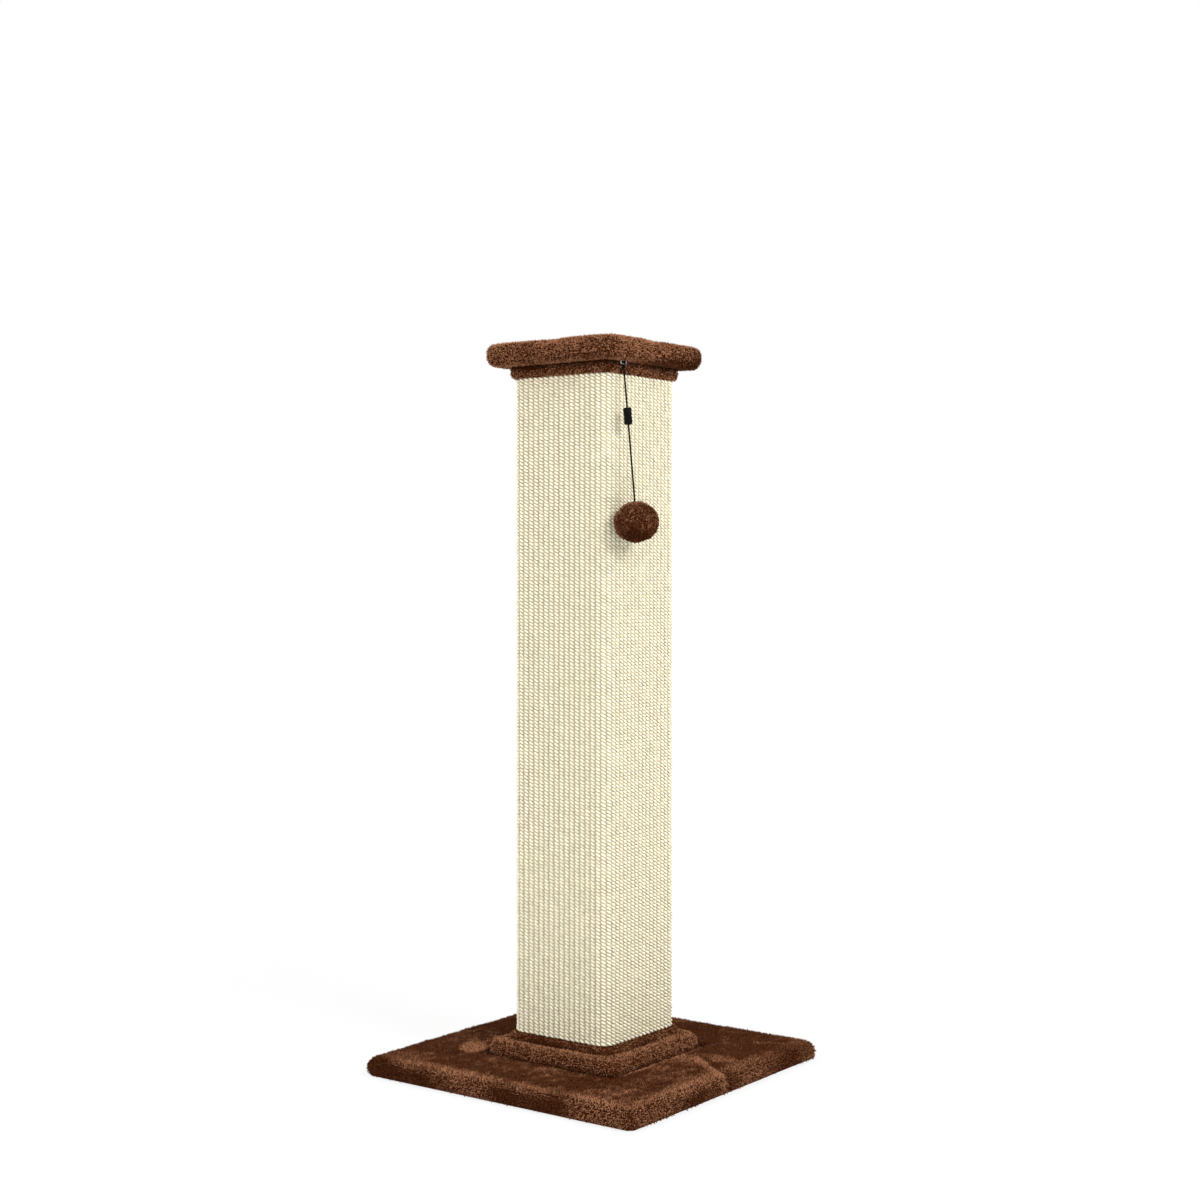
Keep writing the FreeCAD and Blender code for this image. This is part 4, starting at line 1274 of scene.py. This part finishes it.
def stuff_ball(settings, plush):
    """The plush ball: a taut round skin over its stuffing, with pile all round."""
    deselect_all()
    bpy.ops.mesh.primitive_ico_sphere_add(subdivisions=5, radius=1.0)
    skin = name_new("ball_skin")
    across = (BALL_HIGH.x - BALL_LOW.x) / 2 - settings.ball_pile
    skin.scale = (across, across, across * BALL_FLATNESS)
    settle(skin)
    lean_on_string(skin, BALL_MIDDLE)
    add_lumps(skin, plush.lumps, 0.012)
    points = read_points(skin)
    # Painted light and shade: the ball's nap is lighter on its upper side towards -X and -Y, and darker
    # underneath.
    lit = (points - np.array(BALL_MIDDLE)) @ np.array((-0.35, -0.35, 0.85)) / across
    brush(skin, 0.35 - 0.7 * lit + 1.1 * soft_noise(points, 70, 13), 0.9)
    finish = plush_finish(plush, "ball_plush", 0.77)
    pile = grow_pile(skin, "ball_pile", np.ones(len(points)), plush, seed=51, nap=(0, 0, -0.7), curl=1.6)
    smooth(skin)
    hand_over(skin, "toy_ball", "brown_plush", finish, "ball_plush")
    hand_over(pile, "toy_ball", "brown_plush", finish)


def finish_hardware():
    """Materials of the boards and the metal that stay as they were built."""
    boards = board_finish()
    steel = steel_finish()
    metal = ("base_bolts", "base_washers", "tee_nuts", "perch_screws", "panel_brads", "toy_staple")
    for name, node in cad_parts.items():
        node.data.materials.clear()
        node.data.materials.append(steel if name in metal else boards)


# Studio

def seen_rays(tree):
    """One for rays that show the background to the eye, straight or in a shiny surface."""
    rays = add_node(tree, "ShaderNodeLightPath").outputs
    seen = add_node(tree, "ShaderNodeMath", {0: rays["Is Camera Ray"], 1: rays["Is Glossy Ray"]},
                    operation="MAXIMUM").outputs[0]
    return add_node(tree, "ShaderNodeMath", {0: seen, 1: rays["Is Transmission Ray"]},
                    operation="MAXIMUM").outputs[0]


def lay_floor(settings):
    """The pale floor, lifted to white away from the post, which keeps the post's shadow."""
    deselect_all()
    bpy.ops.mesh.primitive_plane_add(size=FLOOR_SIZE)
    floor = name_new("studio_floor")
    finish, tree, shader, place = new_finish("pale_floor")
    connect(tree, shader, {
        "Base Color": (*settings.floor, 1), "Roughness": 0.9, "Specular IOR Level": 0.1})
    distance = add_node(tree, "ShaderNodeVectorMath", {0: place}, operation="LENGTH").outputs["Value"]
    far = spread_value(tree, distance, settings.floor_white, 1.0,
                       settings.floor_reach / 4, settings.floor_reach)
    lifted = multiply(tree, far, seen_rays(tree))
    white = add_node(tree, "ShaderNodeEmission", {"Color": (1, 1, 1, 1), "Strength": 1.0}).outputs[0]
    both = add_node(tree, "ShaderNodeMixShader", {0: lifted, 1: shader.outputs[0], 2: white}).outputs[0]
    connect(tree, tree.nodes["Material Output"], {0: both})
    floor.data.materials.append(finish)


def light_surround(settings):
    """The white surround: plain white to the eye, and the even light on the post."""
    world = bpy.data.worlds.new("white_studio")
    world.use_nodes = True
    tree = world.node_tree
    tree.nodes.clear()
    around, white = (
        add_node(tree, "ShaderNodeBackground", {"Color": (1, 1, 1, 1), "Strength": strength}).outputs[0]
        for strength in (settings.ambient, 1.0))
    both = add_node(tree, "ShaderNodeMixShader", {0: seen_rays(tree), 1: around, 2: white}).outputs[0]
    add_node(tree, "ShaderNodeOutputWorld", {0: both})
    bpy.context.scene.world = world


def set_softboxes(settings):
    """The softboxes round the post, aimed at its middle."""
    aim = Vector((0, 0, POST_LENGTH / 2))
    for side, place in SOFTBOX_PLACES.items():
        bpy.ops.object.light_add(type="AREA", location=place)
        lamp = name_new(f"{side}_softbox")
        lamp.data.energy = getattr(settings, f"{side}_power")
        lamp.data.size = SOFTBOX_SIZE
        lamp.rotation_mode = "QUATERNION"
        lamp.rotation_quaternion = (aim - Vector(place)).to_track_quat("-Z", "Y")


def set_camera(settings):
    """The camera at the viewing angle of the picture."""
    bpy.ops.object.camera_add(location=settings.eye)
    camera = name_new("photo_view")
    camera.data.sensor_width = settings.sensor
    camera.data.lens = settings.lens
    level = math.cos(settings.pitch)
    ahead = Vector((math.cos(settings.heading) * level, math.sin(settings.heading) * level,
                    -math.sin(settings.pitch)))
    camera.rotation_mode = "QUATERNION"
    camera.rotation_quaternion = ahead.to_track_quat("-Z", "Y")
    bpy.context.scene.camera = camera


def set_studio(settings):
    """Pale floor, white surround, softboxes and the camera."""
    lay_floor(settings)
    light_surround(settings)
    set_softboxes(settings)
    set_camera(settings)
    bpy.context.scene.view_settings.view_transform = "Standard"


# Operators

class POST_OT_weave_sisal(bpy.types.Operator):
    """Weave the sisal matting round the post"""
    bl_idname = "scratch_post.weave_sisal"
    bl_label = "Weave sisal"

    def execute(self, context):
        weave_sisal(context.scene.post_sisal)
        return {"FINISHED"}


class POST_OT_cover_base(bpy.types.Operator):
    """Cover the base with plush"""
    bl_idname = "scratch_post.cover_base"
    bl_label = "Cover base"

    def execute(self, context):
        cover_base(context.scene.post_plush)
        return {"FINISHED"}


class POST_OT_cover_foot_pad(bpy.types.Operator):
    """Cover the foot pad with plush"""
    bl_idname = "scratch_post.cover_foot_pad"
    bl_label = "Cover foot pad"

    def execute(self, context):
        cover_foot_pad(context.scene.post_plush)
        return {"FINISHED"}


class POST_OT_cover_caps(bpy.types.Operator):
    """Wrap the plush bands round both ends of the post"""
    bl_idname = "scratch_post.cover_caps"
    bl_label = "Cover caps"

    def execute(self, context):
        cover_caps(context.scene.post_plush)
        return {"FINISHED"}


class POST_OT_cover_perch(bpy.types.Operator):
    """Cover the perch with plush"""
    bl_idname = "scratch_post.cover_perch"
    bl_label = "Cover perch"

    def execute(self, context):
        cover_perch(context.scene.post_plush)
        return {"FINISHED"}


class POST_OT_lay_felt(bpy.types.Operator):
    """Lay the felt under the base"""
    bl_idname = "scratch_post.lay_felt"
    bl_label = "Lay felt"

    def execute(self, context):
        lay_felt(context.scene.post_plush)
        return {"FINISHED"}


class POST_OT_hang_toy(bpy.types.Operator):
    """Hang the string with its loop and sleeve"""
    bl_idname = "scratch_post.hang_toy"
    bl_label = "Hang toy"

    def execute(self, context):
        settings = context.scene.post_toy
        string, start, length = hang_string(settings)
        loop = tie_loop(settings)
        sleeve = fit_sleeve(settings)
        return {"FINISHED"}


class POST_OT_stuff_ball(bpy.types.Operator):
    """Stuff the plush ball"""
    bl_idname = "scratch_post.stuff_ball"
    bl_label = "Stuff ball"

    def execute(self, context):
        stuff_ball(context.scene.post_toy, context.scene.post_plush)
        return {"FINISHED"}


class POST_OT_finish_hardware(bpy.types.Operator):
    """Finish the boards and the metal"""
    bl_idname = "scratch_post.finish_hardware"
    bl_label = "Finish hardware"

    def execute(self, context):
        finish_hardware()
        return {"FINISHED"}


class POST_OT_set_studio(bpy.types.Operator):
    """Set up the floor, the light and the camera"""
    bl_idname = "scratch_post.set_studio"
    bl_label = "Set studio"

    def execute(self, context):
        set_studio(context.scene.post_studio)
        return {"FINISHED"}


SETTINGS = {
    "post_sisal": SisalSettings,
    "post_plush": PlushSettings,
    "post_toy": ToySettings,
    "post_studio": StudioSettings,
}
STEPS = (
    POST_OT_set_studio,
    POST_OT_hang_toy,
    POST_OT_weave_sisal,
    POST_OT_cover_base,
    POST_OT_cover_foot_pad,
    POST_OT_cover_caps,
    POST_OT_cover_perch,
    POST_OT_lay_felt,
    POST_OT_stuff_ball,
    POST_OT_finish_hardware,
)


class POST_PT_looks(bpy.types.Panel):
    """Settings and steps of the scratching post"""
    bl_label = "Scratching post"
    bl_idname = "POST_PT_looks"
    bl_space_type = "VIEW_3D"
    bl_region_type = "UI"
    bl_category = "Scratching post"

    def draw(self, context):
        for step in STEPS:
            self.layout.operator(step.bl_idname)
        for group in SETTINGS:
            box = self.layout.box()
            settings = getattr(context.scene, group)
            for name in settings.__annotations__:
                box.prop(settings, name)


CLASSES = (*SETTINGS.values(), *STEPS, POST_PT_looks)


def register():
    """Adds the settings, the steps and the panel."""
    for kind in CLASSES:
        bpy.utils.register_class(kind)
    for name, kind in SETTINGS.items():
        setattr(bpy.types.Scene, name, bpy.props.PointerProperty(type=kind))


def unregister():
    """Takes the settings, the steps and the panel away."""
    for name in SETTINGS:
        delattr(bpy.types.Scene, name)
    for kind in reversed(CLASSES):
        bpy.utils.unregister_class(kind)


def main():
    """Dresses the whole post, one step after another."""
    register()
    for step in STEPS:
        group, action = step.bl_idname.split(".")
        getattr(getattr(bpy.ops, group), action)()


if __name__ == "__main__":
    main()
